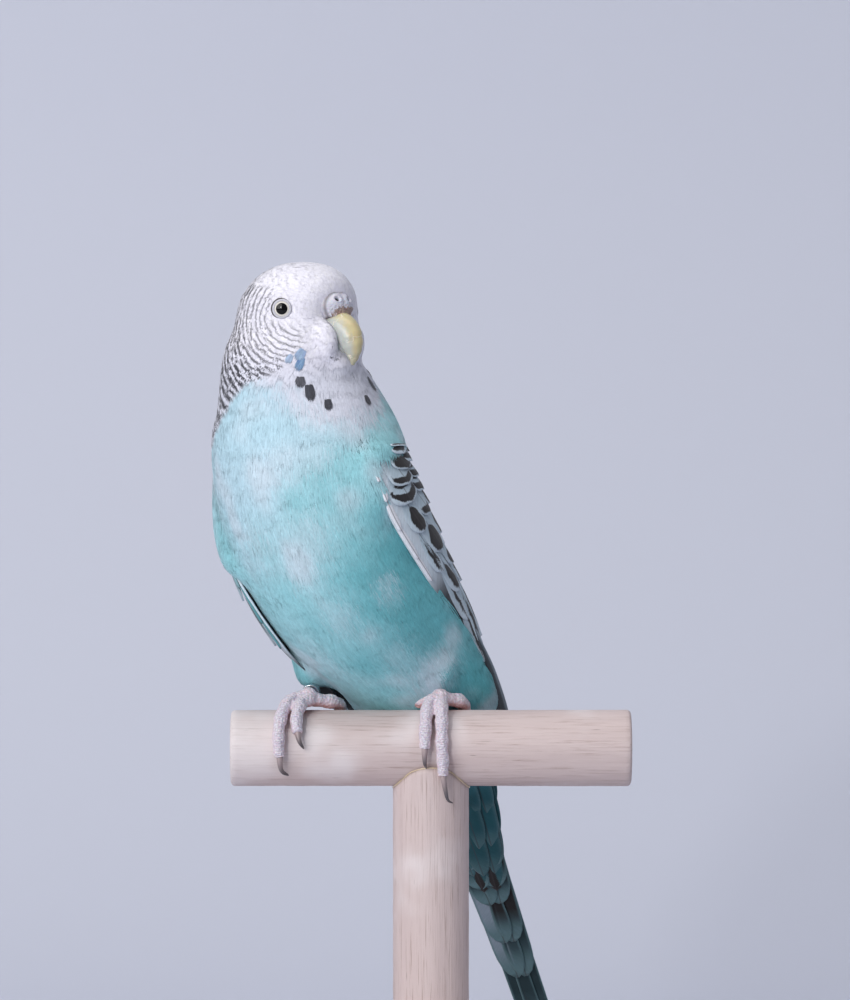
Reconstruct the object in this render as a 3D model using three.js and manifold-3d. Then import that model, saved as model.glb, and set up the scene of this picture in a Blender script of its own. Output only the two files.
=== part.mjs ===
// A budgerigar standing on a wooden T-perch, life size, in millimetres.
// +X is to the right seen from the front, +Y runs to the back and +Z is up.
// The origin is the middle of the base's underside, on the floor.
import * as THREE from "three";
import { mergeVertices } from "three/addons/utils/BufferGeometryUtils.js";
import Module from "manifold-3d";

const wasm = await Module();
wasm.setup();

const GAP = 0.3;
const WELD = 1e-4;
const DOWEL_RADIUS = 9.1;

// The perch and its stand. The bar's height leaves the tail clear of the base.
const BAR = { length: 95.8, height: 96, chamfer: 0.7, sides: 40 };
const POST = { archRise: 4.9, archTop: -4.3, sides: 40 };
const BASE = { radius: 57, thickness: 12, edge: 2.5, bevel: 0.6, steps: 4, sides: 36 };

// Cross-sections of the body from the tail to the brow, counted from the bar's axis.
// half is the half width; front and back are the reach to the belly's side and the back's side.
// heading is where the section faces, in degrees from the viewer, positive to the bird's left.
const SECTIONS = [
  { x: 22.4, y: 45.6, z: -62, half: 4.3, front: 1.4, back: 1.4, heading: -22 },
  { x: 11.8, y: 32.6, z: -30, half: 7.2, front: 2.4, back: 2, heading: -22 },
  { x: 3.6, y: 22.2, z: -4, half: 11.4, front: 6.6, back: 6.2, heading: -22 },
  { x: -1.6, y: 16.2, z: 9, half: 16, front: 10, back: 9.4, heading: -22 },
  { x: -7.6, y: 9.4, z: 22, half: 17.7, front: 15.6, back: 13, heading: -22 },
  { x: -17.2, y: 1.8, z: 37, half: 22, front: 20, back: 16.4, heading: -22 },
  { x: -25.8, y: -4.3, z: 53.5, half: 23.5, front: 20.8, back: 17.4, heading: -22 },
  { x: -30.2, y: -6, z: 68, half: 22.4, front: 19.6, back: 17.2, heading: -20 },
  { x: -30.9, y: -5.2, z: 80, half: 20.9, front: 17.6, back: 17.6, heading: 4 },
  { x: -32.6, y: -4.8, z: 90.5, half: 17.8, front: 16.3, back: 17.5, heading: 30 },
  { x: -32, y: -5.2, z: 99, half: 15.2, front: 15.4, back: 15.8, heading: 43 },
  { x: -31.8, y: -5.5, z: 103.5, half: 14.4, front: 14.9, back: 15, heading: 47 },
];
const BODY_SIDES = 26;
const BELLY_CLEARANCE = 4.4;
const TAIL_JOINT = 2;
const NECK_JOINT = 7.4;
const HEAD_JOINT = 9.1;
const BROW = SECTIONS.length - 1;
const BROW_LEVELS = 1.6; // sections turn level from this far below the brow
// The crown over the brow: the powers set how square its dome is across and to the front.
const CROWN = { height: 12.8, steps: 6, forward: 1.6, across: 0.92, ahead: 0.86 };

// The head's own frame: its middle at the eyes' height and where the face points.
const HEAD = { x: -31.8, y: -5.5, z: 103.5, heading: 47 };
const EYE = { radius: 3.2, left: 10.4, forward: 5.6, up: 1, turn: 54 };
const LID = { radius: 2.35, thickness: 0.5, out: 2.75 };
const CERE = { forward: 12.2, up: 1.7, deep: 3.5, wide: 5, high: 3.6 };
const NOSTRIL = { left: 1.9, forward: 15.2, up: 3.6, radius: 0.62 };

// The upper bill's middle from the cere to the tip, with its half width and half depth there.
const BILL = [
  { forward: 11.6, up: -2.6, half: 3.3, deep: 3 },
  { forward: 14.6, up: -3, half: 3.5, deep: 3.2 },
  { forward: 17, up: -5, half: 3.2, deep: 3 },
  { forward: 18.2, up: -7.8, half: 2.5, deep: 2.4 },
  { forward: 18.5, up: -10.3, half: 1.3, deep: 1.3 },
  { forward: 18.2, up: -12.2, half: 0.3, deep: 0.3 },
];
const BILL_STEPS = 11;
// Where the feathers swell over or draw in from the smooth head: left, forward and up in the
// head's frame, the rise, and how wide it spreads.
const RELIEF = [
  { left: 0, forward: 14.5, up: -1.5, rise: -3.2, spread: 4.8 },
  { left: 12.8, forward: 7, up: 1, rise: -0.7, spread: 2.6 },
  { left: -12.8, forward: 7, up: 1, rise: -0.7, spread: 2.6 },
  { left: 8.5, forward: 11.5, up: -9, rise: 0.9, spread: 4.5 },
  { left: -8.5, forward: 11.5, up: -9, rise: 0.9, spread: 4.5 },
  { left: 0, forward: 12.5, up: 8, rise: 0.7, spread: 4.5 },
];

const LOWER_BILL = { forward: 14.6, up: -7, half: 2.5, deep: 2.6, high: 2.7 };

// Legs and feet. A place on the bar is [x, angle from its top towards the front, rise off its
// surface]; front toes come first in each foot, then hind toes.
const TOE = { radius: 1.65, tip: 1.4, joints: 0.06, end: 0.82, sides: 7, steps: 8 };
const CLAW = { radius: 0.95, flat: 0.8, point: 0.12, sides: 6, steps: 5 };
const PALM = { radius: 2.3 };
const TARSUS = { radius: 1.25 };
const FEET = {
  right: {
    palm: [-29.4, 6, 3.3],
    ankle: { x: -28.2, y: 9.5, z: 14 },
    toes: [
      [[-29.8, 6, 3.2], [-33, 14, 3], [-35.4, 38, 2.1], [-36.2, 68, 1.9], [-36, 98, 1.8]],
      [[-29, 10, 3], [-31, 24, 2.7], [-32, 46, 2.1], [-31.7, 68, 1.9]],
      [[-28.4, 5, 2.8], [-25.6, -1, 2.1], [-23, -12, 1.9], [-21.6, -36, 1.8], [-21.2, -62, 1.75]],
      [[-30.2, 3, 2.8], [-33, -10, 2.2], [-34.6, -32, 1.9], [-34.8, -58, 1.75]],
    ],
    claws: [
      [[-35.5, 116, 1.9], [-33.9, 127, 1]],
      [[-31.2, 79, 2.2], [-30.2, 88, 1]],
      [[-21.4, -82, 1.9], [-22.1, -94, 0.8]],
      [[-34.6, -76, 1.9], [-34, -88, 0.8]],
    ],
  },
  left: {
    palm: [2.2, 6, 3],
    ankle: { x: 2.6, y: 7.5, z: 14.5 },
    toes: [
      [[2.3, 6, 3], [2.4, 22, 2.8], [2.5, 48, 2.1], [2.6, 86, 1.8], [2.8, 104, 2.1], [2.9, 119, 3.3]],
      [[1.5, 10, 2.9], [-0.3, 22, 2.6], [-1.2, 50, 2.1], [-1.5, 88, 1.9]],
      [[3, 4, 2.8], [5.2, -2, 2.4], [7.2, -12, 2.1], [8.2, -36, 1.8], [8.4, -62, 1.75]],
      [[1.2, 3, 2.6], [-1.8, -3, 2.2], [-3.8, -16, 2], [-4.2, -42, 1.8], [-4, -60, 1.75]],
    ],
    claws: [
      [[3.4, 131, 5.2], [4.1, 138.5, 6.8], [5.2, 140, 7.2]],
      [[-1.5, 105, 2], [-1.1, 116, 0.9]],
      [[8.2, -82, 1.9], [7.6, -94, 0.8]],
      [[-4, -78, 1.9], [-3.6, -90, 0.8]],
    ],
  },
};
const RING = { inner: 1.9, outer: 2.3, width: 2.6, along: 0.4, sides: 22 };
// Feathered thighs: middle, half width and half depth from the belly down to the ankle.
const THIGHS = {
  right: [
    { x: -24.5, y: 5.5, z: 30, half: 8, deep: 8 },
    { x: -27, y: 5.6, z: 24, half: 7.6, deep: 7 },
    { x: -28, y: 7, z: 18.8, half: 5.6, deep: 5 },
    { x: -28, y: 8.4, z: 14.9, half: 4, deep: 3.2 },
  ],
  left: [
    { x: -2, y: 2, z: 28, half: 7.4, deep: 7.4 },
    { x: 1, y: 1.6, z: 22, half: 6.6, deep: 6.4 },
    { x: 2.2, y: 1.6, z: 18.2, half: 5, deep: 5 },
    { x: 2.4, y: 1.8, z: 15.4, half: 3.4, deep: 3.6 },
  ],
};

const THIGH_STEPS = 7;

// A wing is thickest at its bend. Its edge keeps a share of the thickness of its middle.
const WING = { thick: 2.2, thin: 0.9, taper: 0.7, edge: 0.45, rows: 13, cols: 6, room: 8 };
// Tiers of wing feathers, each from its first feather by the wing's lower edge to its last by the
// back. from and to are the ends of the feathers along the wing, 0 at the bend and 1 at the tip;
// low and high are the same ends' places across it, 0 at the lower edge and 1 at the upper, and
// half is half a feather's width.
const WING_TIERS = [
  { count: 5, from: [0.57, 0.5], to: [0.99, 0.76], low: [0.15, 0.58], high: [0.42, 0.7], half: 2.6, lift: 0.05 },
  { count: 4, from: [0.46, 0.34], to: [0.74, 0.5], low: [0.55, 0.88], high: [0.64, 0.91], half: 3, lift: 0.3 },
  { count: 5, from: [0.38, 0.3], to: [0.52, 0.39], low: [0.12, 0.86], high: [0.13, 0.88], half: 3.3, lift: 0.6 },
  { count: 5, from: [0.25, 0.2], to: [0.36, 0.28], low: [0.14, 0.86], high: [0.14, 0.86], half: 3.3, lift: 0.75 },
  { count: 4, from: [0.15, 0.12], to: [0.24, 0.18], low: [0.16, 0.82], high: [0.16, 0.82], half: 3.4, lift: 0.8 },
  { count: 4, from: [0.05, 0.04], to: [0.14, 0.11], low: [0.2, 0.8], high: [0.2, 0.8], half: 2.9, lift: 0.8 },
];
// A vane: its rise is never under floor, its root sinks into the wing, and it widens to its shoulder
// before it rounds off to a blunt tip.
const VANE = {
  thickness: 0.55, sink: 0.9, camber: 0.2, tilt: 0.12, floor: 0.6, edges: [0.02, 0.985],
  stations: [0, 0.5, 0.8, 0.94, 1], root: 0.75, shoulder: 0.8, blunt: 0.21, tip: 0.16,
};
// The edges of each wing from the bend to the tip: its section, the angles of its lower edge on
// the bird's left and right and of its upper edge, and how far its underside lies off the body.
const WING_ROWS = [
  { t: 7.3, left: 76, right: 116, upper: 116, lift: 0.55 },
  { t: 7.05, left: 62, right: 98, upper: 134, lift: 0.55 },
  { t: 6.5, left: 61, right: 82, upper: 152, lift: 0.55 },
  { t: 6, left: 60, right: 71, upper: 163, lift: 0.55 },
  { t: 5.5, left: 62, right: 67, upper: 168, lift: 0.55 },
  { t: 5, left: 65.5, right: 66.5, upper: 170, lift: 0.55 },
  { t: 4.5, left: 70, right: 70, upper: 172, lift: 0.55 },
  { t: 4, left: 76, right: 76, upper: 173, lift: 0.7 },
  { t: 3.5, left: 80, right: 79, upper: 174, lift: 1.2 },
  { t: 3, left: 86, right: 86, upper: 174, lift: 2.2 },
  { t: 2.6, left: 99, right: 99, upper: 172, lift: 3 },
  { t: 2.25, left: 118, right: 118, upper: 170, lift: 3.4 },
  { t: 1.9, left: 144, right: 144, upper: 164, lift: 3.4 },
];

// The tail: a core of coverts at the joint, and pairs of graduated feathers from the outer to the
// central pair, with length, root and tip offsets from the middle and height over the core's middle.
const TAIL = {
  core: 34, half: 10.4, thick: 4.6, narrows: 0.55, thins: 0.84, thinning: 0.8,
  width: 3.4, start: 7, stagger: 0.09, tilt: 0.03, sides: 16, steps: 7,
};
const TAIL_PAIRS = [
  { length: 31, root: 6.4, tip: 3, height: -1.1 },
  { length: 37, root: 5.5, tip: 2, height: -0.75 },
  { length: 42, root: 4.6, tip: 1.4, height: -0.4 },
  { length: 53.5, root: 3.8, tip: 1.2, height: -0.05 },
  { length: 64, root: 3, tip: 1.1, height: 0.3 },
  { length: 83.5, root: 2, tip: 1, height: 0.65 },
];

const degrees = THREE.MathUtils.degToRad;
const lerp = THREE.MathUtils.lerp;

// Catmull-Rom through one value of a list of rows, at row number t.
function smooth(rows, key, t) {
  const i = Math.min(Math.max(Math.floor(t), 0), rows.length - 2);
  const at = (k) => {
    if (k < 0) return 2 * rows[0][key] - rows[1][key];
    if (k > rows.length - 1) return 2 * rows[rows.length - 1][key] - rows[rows.length - 2][key];
    return rows[k][key];
  };
  const [a, b, c, d] = [at(i - 1), at(i), at(i + 1), at(i + 2)];
  const w = t - i;
  return 0.5 * (2 * b + (c - a) * w + (2 * a - 5 * b + 4 * c - d) * w * w + (3 * b - a - 3 * c + d) * w ** 3);
}

// The crown closes the body above the brow as a rounded dome.
const ROWS = [...SECTIONS];
for (let k = 1; k <= CROWN.steps; k++) {
  const turn = (k / CROWN.steps) * (Math.PI / 2);
  const brow = SECTIONS[BROW];
  ROWS.push({
    ...brow,
    x: brow.x + CROWN.forward * Math.sin(turn) * Math.sin(degrees(brow.heading)),
    y: brow.y - CROWN.forward * Math.sin(turn) * Math.cos(degrees(brow.heading)),
    z: brow.z + CROWN.height * Math.sin(turn),
    half: brow.half * Math.cos(turn) ** CROWN.across,
    front: brow.front * Math.cos(turn) ** CROWN.ahead,
    back: brow.back * Math.cos(turn) ** CROWN.across,
  });
}
const TOP = ROWS.length - 1;

const spine = (t) => new THREE.Vector3(smooth(ROWS, "x", t), smooth(ROWS, "y", t), smooth(ROWS, "z", t));

// The middle and the three directions of the body's section at t.
function sectionAt(t) {
  const step = 0.05;
  const level = THREE.MathUtils.clamp(t - BROW + BROW_LEVELS, 0, 1);
  const up = level < 1 ? spine(t + step).sub(spine(t - step)).normalize() : new THREE.Vector3(0, 0, 1);
  up.lerp(new THREE.Vector3(0, 0, 1), level).normalize();
  const heading = degrees(smooth(ROWS, "heading", t));
  const faces = new THREE.Vector3(Math.sin(heading), -Math.cos(heading), 0);
  const left = new THREE.Vector3().crossVectors(up, faces).normalize();
  const forward = new THREE.Vector3().crossVectors(left, up).normalize();
  return { centre: spine(t), up, forward, left };
}

const headPoint = (left, forward, up) =>
  new THREE.Vector3(left, -forward, up)
    .applyAxisAngle(new THREE.Vector3(0, 0, 1), degrees(HEAD.heading))
    .add(new THREE.Vector3(HEAD.x, HEAD.y, HEAD.z));

const swells = RELIEF.map((row) => ({ ...row, at: headPoint(row.left, row.forward, row.up) }));

function relief(point) {
  const swell = ({ at, rise, spread }) => rise * Math.exp(-point.distanceToSquared(at) / (2 * spread ** 2));
  return swells.reduce((sum, row) => sum + swell(row), 0);
}

// A point of the coat's surface, angle counted from the front towards the bird's left, raised by lift.
function bodyPoint(t, angle, lift = 0, shift = 0) {
  const { centre, up, forward, left } = sectionAt(t);
  const reach = Math.max(smooth(ROWS, Math.cos(angle) > 0 ? "front" : "back", t), 0);
  const half = Math.max(smooth(ROWS, "half", t), 0);
  const place = (rise) =>
    centre
      .clone()
      .addScaledVector(up, shift)
      .addScaledVector(forward, (reach + rise) * Math.cos(angle))
      .addScaledVector(left, (half + rise) * Math.sin(angle));
  return place(t > NECK_JOINT && t < TOP ? lift + relief(place(0)) : lift);
}

// A geometry from points and triangles, turned to face outwards, with no empty triangles.
function solidGeometry(points, triangles) {
  const geometry = new THREE.BufferGeometry();
  geometry.setFromPoints(points);
  geometry.setIndex(triangles);
  const merged = mergeVertices(geometry, WELD);
  const position = merged.getAttribute("position");
  const corner = [new THREE.Vector3(), new THREE.Vector3(), new THREE.Vector3()];
  const kept = [];
  let volume = 0;
  for (let i = 0; i < merged.index.count; i += 3) {
    const [a, b, c] = [0, 1, 2].map((k) => merged.index.getX(i + k));
    if (a === b || b === c || a === c) continue;
    [a, b, c].forEach((v, k) => corner[k].fromBufferAttribute(position, v));
    volume += corner[0].dot(corner[1].clone().cross(corner[2]));
    kept.push(a, b, c);
  }
  merged.setIndex(volume < 0 ? kept.reverse() : kept);
  return merged;
}

// A closed skin over rings of equal count. Each end is a fan to the ring's own middle.
function skin(rings) {
  const points = rings.flat();
  const n = rings[0].length;
  const triangles = [];
  for (let r = 0; r < rings.length - 1; r++)
    for (let k = 0; k < n; k++) {
      const [a, b] = [r * n + k, r * n + ((k + 1) % n)];
      triangles.push(a, b, b + n, a, b + n, a + n);
    }
  for (const r of [0, rings.length - 1]) {
    const middle = rings[r].reduce((sum, p) => sum.add(p), new THREE.Vector3()).divideScalar(n);
    points.push(middle);
    for (let k = 0; k < n; k++) {
      const [a, b] = [r * n + k, r * n + ((k + 1) % n)];
      triangles.push(...(r === 0 ? [b, a, points.length - 1] : [a, b, points.length - 1]));
    }
  }
  return solidGeometry(points, triangles);
}

// A closed shell between two grids of points that are split into triangles alike.
function slab(outer, inner) {
  const rows = outer.length;
  const cols = outer[0].length;
  const points = [...outer.flat(), ...inner.flat()];
  const at = (i, j) => i * cols + j;
  const under = rows * cols;
  const triangles = [];
  for (let i = 0; i < rows - 1; i++)
    for (let j = 0; j < cols - 1; j++)
      for (const [a, b, c] of [
        [at(i, j), at(i + 1, j), at(i + 1, j + 1)],
        [at(i, j), at(i + 1, j + 1), at(i, j + 1)],
      ])
        triangles.push(a, b, c, under + a, under + c, under + b);
  const rim = [];
  for (let j = 0; j < cols - 1; j++) rim.push(at(0, j));
  for (let i = 0; i < rows - 1; i++) rim.push(at(i, cols - 1));
  for (let j = cols - 1; j > 0; j--) rim.push(at(rows - 1, j));
  for (let i = rows - 1; i > 0; i--) rim.push(at(i, 0));
  rim.forEach((a, k) => {
    const b = rim[(k + 1) % rim.length];
    triangles.push(a, b, under + b, a, under + b, under + a);
  });
  return solidGeometry(points, triangles);
}

// A geometry as a solid that can be joined and cut.
function solid(geometry) {
  const plain = geometry.index ? geometry.clone() : mergeVertices(geometry);
  for (const name of Object.keys(plain.attributes)) if (name !== "position") plain.deleteAttribute(name);
  const merged = mergeVertices(plain, WELD);
  return new wasm.Manifold(
    new wasm.Mesh({
      numProp: 3,
      vertProperties: new Float32Array(merged.getAttribute("position").array),
      triVerts: new Uint32Array(merged.index.array),
    }),
  );
}

// The largest closed body of a solid, as a geometry.
function geometryOf(made) {
  const bodies = made.decompose().sort((a, b) => b.volume() - a.volume());
  const mesh = bodies[0].getMesh();
  const geometry = new THREE.BufferGeometry();
  const position = new Float32Array(mesh.numVert * 3);
  for (let v = 0; v < mesh.numVert; v++)
    for (let k = 0; k < 3; k++) position[3 * v + k] = mesh.vertProperties[v * mesh.numProp + k];
  geometry.setAttribute("position", new THREE.BufferAttribute(position, 3));
  geometry.setIndex(new THREE.BufferAttribute(new Uint32Array(mesh.triVerts), 1));
  return geometry;
}

const cleaned = (geometry) => geometryOf(solid(geometry));

const placed = (geometry, at, turn = new THREE.Euler()) =>
  geometry.clone().applyMatrix4(new THREE.Matrix4().makeRotationFromEuler(turn).setPosition(at));

// A length of the body between two sections, with half a gap left at a joint.
function bodyLength(from, to, steps, lift = 0) {
  const rings = [];
  for (let k = 0; k <= steps; k++) {
    const t = lerp(from, to, k / steps);
    const shift = k === 0 && from > 0 ? GAP / 2 : k === steps && to < TOP ? -GAP / 2 : 0;
    rings.push(
      Array.from({ length: BODY_SIDES }, (_, i) => bodyPoint(t, (i / BODY_SIDES) * 2 * Math.PI, lift, shift)),
    );
  }
  return skin(rings);
}

function barSolid(grow = 0) {
  const r = DOWEL_RADIUS + grow;
  const end = BAR.length / 2 + grow;
  const bevel = grow ? 0 : BAR.chamfer;
  const profile = [
    new THREE.Vector2(0, -end),
    new THREE.Vector2(r - bevel, -end),
    new THREE.Vector2(r, -end + bevel),
    new THREE.Vector2(r, end - bevel),
    new THREE.Vector2(r - bevel, end),
    new THREE.Vector2(0, end),
  ];
  return new THREE.LatheGeometry(profile, BAR.sides).rotateZ(Math.PI / 2);
}

function postGeometry() {
  const foot = BASE.thickness + GAP - BAR.height;
  const round = new THREE.CylinderGeometry(DOWEL_RADIUS, DOWEL_RADIUS, -foot, POST.sides);
  const stick = solid(placed(round, new THREE.Vector3(0, 0, foot / 2), new THREE.Euler(Math.PI / 2, 0, 0)));
  const archRadius = (DOWEL_RADIUS ** 2 + POST.archRise ** 2) / (2 * POST.archRise);
  const arch = new THREE.CylinderGeometry(archRadius, archRadius, 4 * DOWEL_RADIUS, BAR.sides);
  const below = new THREE.BoxGeometry(2 * archRadius, 4 * DOWEL_RADIUS, -foot + archRadius);
  const centre = POST.archTop - archRadius;
  const shape = solid(placed(arch, new THREE.Vector3(0, 0, centre))).add(
    solid(placed(below, new THREE.Vector3(0, 0, centre - (-foot + archRadius) / 2))),
  );
  return geometryOf(stick.intersect(shape).subtract(solid(barSolid(GAP))));
}

function baseGeometry() {
  const { radius, thickness, edge, bevel, steps, sides } = BASE;
  const profile = [[0, 0], [radius - bevel, 0], [radius, bevel]].map((place) => new THREE.Vector2(...place));
  for (let k = 0; k <= steps; k++) {
    const turn = (k / steps) * (Math.PI / 2);
    profile.push(
      new THREE.Vector2(radius - edge + edge * Math.cos(turn), thickness - edge + edge * Math.sin(turn)),
    );
  }
  profile.push(new THREE.Vector2(0, thickness));
  return new THREE.LatheGeometry(profile, sides).rotateX(Math.PI / 2);
}

// A place on a wing: u from its bend to its tip, v from its lower to its upper edge.
function wingPlace(side, u, v, rise) {
  const step = u * (WING_ROWS.length - 1);
  const of = (key) => smooth(WING_ROWS, key, step);
  const angle = lerp(of(side > 0 ? "left" : "right"), of("upper"), v);
  return bodyPoint(of("t"), side * degrees(angle), of("lift") + rise);
}

// The grid of a wing's patch, run past its edges by margin, at the rise that riseOf gives.
function wingGrid(side, riseOf, margin = 0) {
  const { rows, cols } = WING;
  const spread = (k, n) => lerp(-margin, 1 + margin, k / n);
  return Array.from({ length: rows + 1 }, (_, i) =>
    Array.from({ length: cols + 1 }, (_, j) => {
      const [u, v] = [THREE.MathUtils.clamp(spread(i, rows), 0, 1), spread(j, cols)];
      return wingPlace(side, u, v, riseOf(u, v));
    }),
  );
}

function wingRise(u, v) {
  return lerp(WING.thick, WING.thin, u ** WING.taper) * lerp(WING.edge, 1, Math.sin(Math.PI * v));
}

// A closed leaf-shaped vane. place(s, across, rise) gives a point at s from root to tip, across to
// one side in millimetres and raised off the surface under it. columns are -1 to 1 across it.
function vane(place, half, riseOf, columns, tilt) {
  const { root, shoulder, blunt, tip } = VANE;
  const outline = (s) =>
    s < shoulder ? lerp(root, 1, s / shoulder) : Math.max(tip, Math.sqrt(1 - ((s - shoulder) / blunt) ** 2));
  const face = (extra) =>
    VANE.stations.map((s) =>
      columns.map((k) => {
        const across = k * half * outline(s);
        return place(s, across, riseOf(s) + tilt * across - VANE.camber * Math.abs(k) + extra);
      }),
    );
  return slab(face(VANE.thickness), face(0));
}

// One feather of a wing tier, k of count.
function wingVane(side, tier, k) {
  const w = tier.count > 1 ? k / (tier.count - 1) : 0;
  const of = (pair) => lerp(pair[0], pair[1], w);
  const [u0, u1, v0, v1] = [of(tier.from), of(tier.to), of(tier.low), of(tier.high)];
  const at = (s) => [lerp(u0, u1, s), lerp(v0, v1, s)];
  const place = (s, across, rise) => {
    const [u, v] = at(s);
    const step = 0.02;
    const reach = wingPlace(side, u, v + step, 0).distanceTo(wingPlace(side, u, v - step, 0)) / (2 * step);
    return wingPlace(side, u, THREE.MathUtils.clamp(v + across / reach, ...VANE.edges), rise);
  };
  const riseOf = (s) => Math.max(VANE.floor, wingRise(...at(s)) + lerp(-VANE.sink, tier.lift, s));
  return vane(place, tier.half, riseOf, [-1, 1], VANE.tilt);
}

function wingGeometry(side) {
  let wing = solid(slab(wingGrid(side, wingRise), wingGrid(side, () => 0)));
  for (const tier of WING_TIERS)
    for (let k = 0; k < tier.count; k++) wing = wing.add(solid(wingVane(side, tier, k)));
  return geometryOf(wing);
}

// The room that a wing needs, for the thigh beside it.
function wingRoom(side) {
  const margin = 0.02;
  return solid(slab(wingGrid(side, () => WING.room, margin), wingGrid(side, () => -GAP, margin)));
}

// The tail's own directions, from its joint with the body.
function tailFrame() {
  const { centre, up, forward, left } = sectionAt(TAIL_JOINT);
  return { origin: centre, down: up.clone().negate(), left, back: forward.clone().negate() };
}

function tailGeometry() {
  const { origin, down, left, back } = tailFrame();
  const at = (along, across, height) =>
    origin.clone().addScaledVector(down, along).addScaledVector(left, across).addScaledVector(back, height);
  const rings = [];
  for (let k = 0; k <= TAIL.steps; k++) {
    const w = k / TAIL.steps;
    const along = lerp(GAP / 2, TAIL.core, w);
    const half = TAIL.half * (1 - TAIL.narrows * w);
    const thick = TAIL.thick * (1 - TAIL.thins * w ** TAIL.thinning);
    rings.push(
      Array.from({ length: TAIL.sides }, (_, i) => {
        const turn = (i / TAIL.sides) * 2 * Math.PI;
        return at(along, half * Math.sin(turn), thick * Math.cos(turn));
      }),
    );
  }
  let tail = solid(skin(rings));
  for (const { length, root, tip, height } of TAIL_PAIRS)
    for (const side of [1, -1]) {
      const over = height + side * TAIL.stagger;
      const place = (s, across, rise) =>
        at(lerp(TAIL.start, length, s), side * lerp(root, tip, s) + across, over + rise);
      tail = tail.add(solid(vane(place, TAIL.width, () => 0, [-1, 0, 1], TAIL.tilt)));
    }
  return geometryOf(tail);
}

// Colour and roughness of each kind of surface.
const COLOURS = {
  plumage: [0x8fc4d2, 0.8], white: [0xe8e6ee, 0.8], wing: [0x6d7580, 0.75], tail: [0x24414c, 0.6],
  cere: [0xd9d3dc, 0.5], bill: [0xc9bd7c, 0.35], eye: [0x08080a, 0.08], skin: [0xd8bcc0, 0.6],
  claw: [0x5c5558, 0.4], ring: [0xc9ccd0, 0.3], wood: [0xd9c3b4, 0.75],
};

function named(name, geometry, colour) {
  const [color, roughness] = COLOURS[colour];
  const metalness = colour === "ring" ? 0.9 : 0;
  const material = new THREE.MeshStandardMaterial({ color, roughness, metalness });
  const mesh = new THREE.Mesh(geometry, material);
  mesh.name = name;
  return mesh;
}

const ellipsoid = (deep, wide, high) => new THREE.SphereGeometry(1, 14, 9).scale(wide, deep, high);

const headPiece = (geometry, left, forward, up) =>
  placed(geometry, headPoint(left, forward, up), new THREE.Euler(0, 0, degrees(HEAD.heading)));

const eyeball = (side, grow = 0) =>
  headPiece(new THREE.SphereGeometry(EYE.radius + grow, 14, 9), side * EYE.left, EYE.forward, EYE.up);

function lid(side) {
  const turn = degrees(HEAD.heading + side * EYE.turn);
  const out = new THREE.Vector3(Math.sin(turn), -Math.cos(turn), 0);
  const ring = new THREE.TorusGeometry(LID.radius, LID.thickness, 5, 14).rotateX(Math.PI / 2);
  const at = headPoint(side * EYE.left, EYE.forward, EYE.up).addScaledVector(out, LID.out);
  return placed(ring, at, new THREE.Euler(0, 0, turn));
}

function headGeometry() {
  let head = solid(bodyLength(HEAD_JOINT, TOP, 14));
  for (const side of [1, -1]) head = head.add(solid(lid(side)));
  for (const side of [1, -1]) head = head.subtract(solid(eyeball(side, GAP)));
  return geometryOf(head);
}

// The head grown by a gap, which the cere and the bill end at.
const face = solid(bodyLength(HEAD_JOINT - 1, TOP, 17, GAP));

function cereShape(grow) {
  const round = ellipsoid(CERE.deep + grow, CERE.wide + grow, CERE.high + grow);
  return solid(headPiece(round, 0, CERE.forward, CERE.up));
}

function cereGeometry() {
  const { left, forward, up, radius } = NOSTRIL;
  let cere = cereShape(0).subtract(face);
  for (const side of [1, -1])
    cere = cere.subtract(solid(headPiece(new THREE.SphereGeometry(radius, 10, 8), side * left, forward, up)));
  return geometryOf(cere);
}

// A closed loft of ovals square to a path. Each stop is a point with half widths a and b,
// a measured along the given side direction.
function limb(stops, side, sides) {
  const rings = stops.map((stop, k) => {
    const before = stops[Math.max(k - 1, 0)].at;
    const after = stops[Math.min(k + 1, stops.length - 1)].at;
    const along = after.clone().sub(before).normalize();
    const across = side.clone().addScaledVector(along, -side.dot(along)).normalize();
    const over = new THREE.Vector3().crossVectors(along, across);
    return Array.from({ length: sides }, (_, i) => {
      const turn = (i / sides) * 2 * Math.PI;
      return stop.at
        .clone()
        .addScaledVector(across, stop.a * Math.cos(turn))
        .addScaledVector(over, stop.b * Math.sin(turn));
    });
  });
  return skin(rings);
}

function billShape(grow) {
  const stops = [];
  for (let k = 0; k <= BILL_STEPS; k++) {
    const t = (k / BILL_STEPS) * (BILL.length - 1);
    stops.push({
      at: headPoint(0, smooth(BILL, "forward", t), smooth(BILL, "up", t)),
      a: smooth(BILL, "half", t) + grow,
      b: smooth(BILL, "deep", t) + grow,
    });
  }
  const across = headPoint(1, 0, 0).sub(headPoint(0, 0, 0));
  return solid(limb(stops, across, 14));
}

const upperBill = () => geometryOf(billShape(0).subtract(face).subtract(cereShape(GAP)));

function lowerBill() {
  const { forward, up, half, deep, high } = LOWER_BILL;
  const round = solid(headPiece(ellipsoid(deep, half, high), 0, forward, up));
  return geometryOf(round.subtract(face).subtract(billShape(GAP)));
}

// Feet. Their lofts keep this side direction, nearly along the bar.
const SIDEWAYS = new THREE.Vector3(1, 0.01, 0.02);

const barPoint = ([x, angle, rise]) => {
  const reach = DOWEL_RADIUS + rise;
  return new THREE.Vector3(x, -reach * Math.sin(degrees(angle)), reach * Math.cos(degrees(angle)));
};

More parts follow.
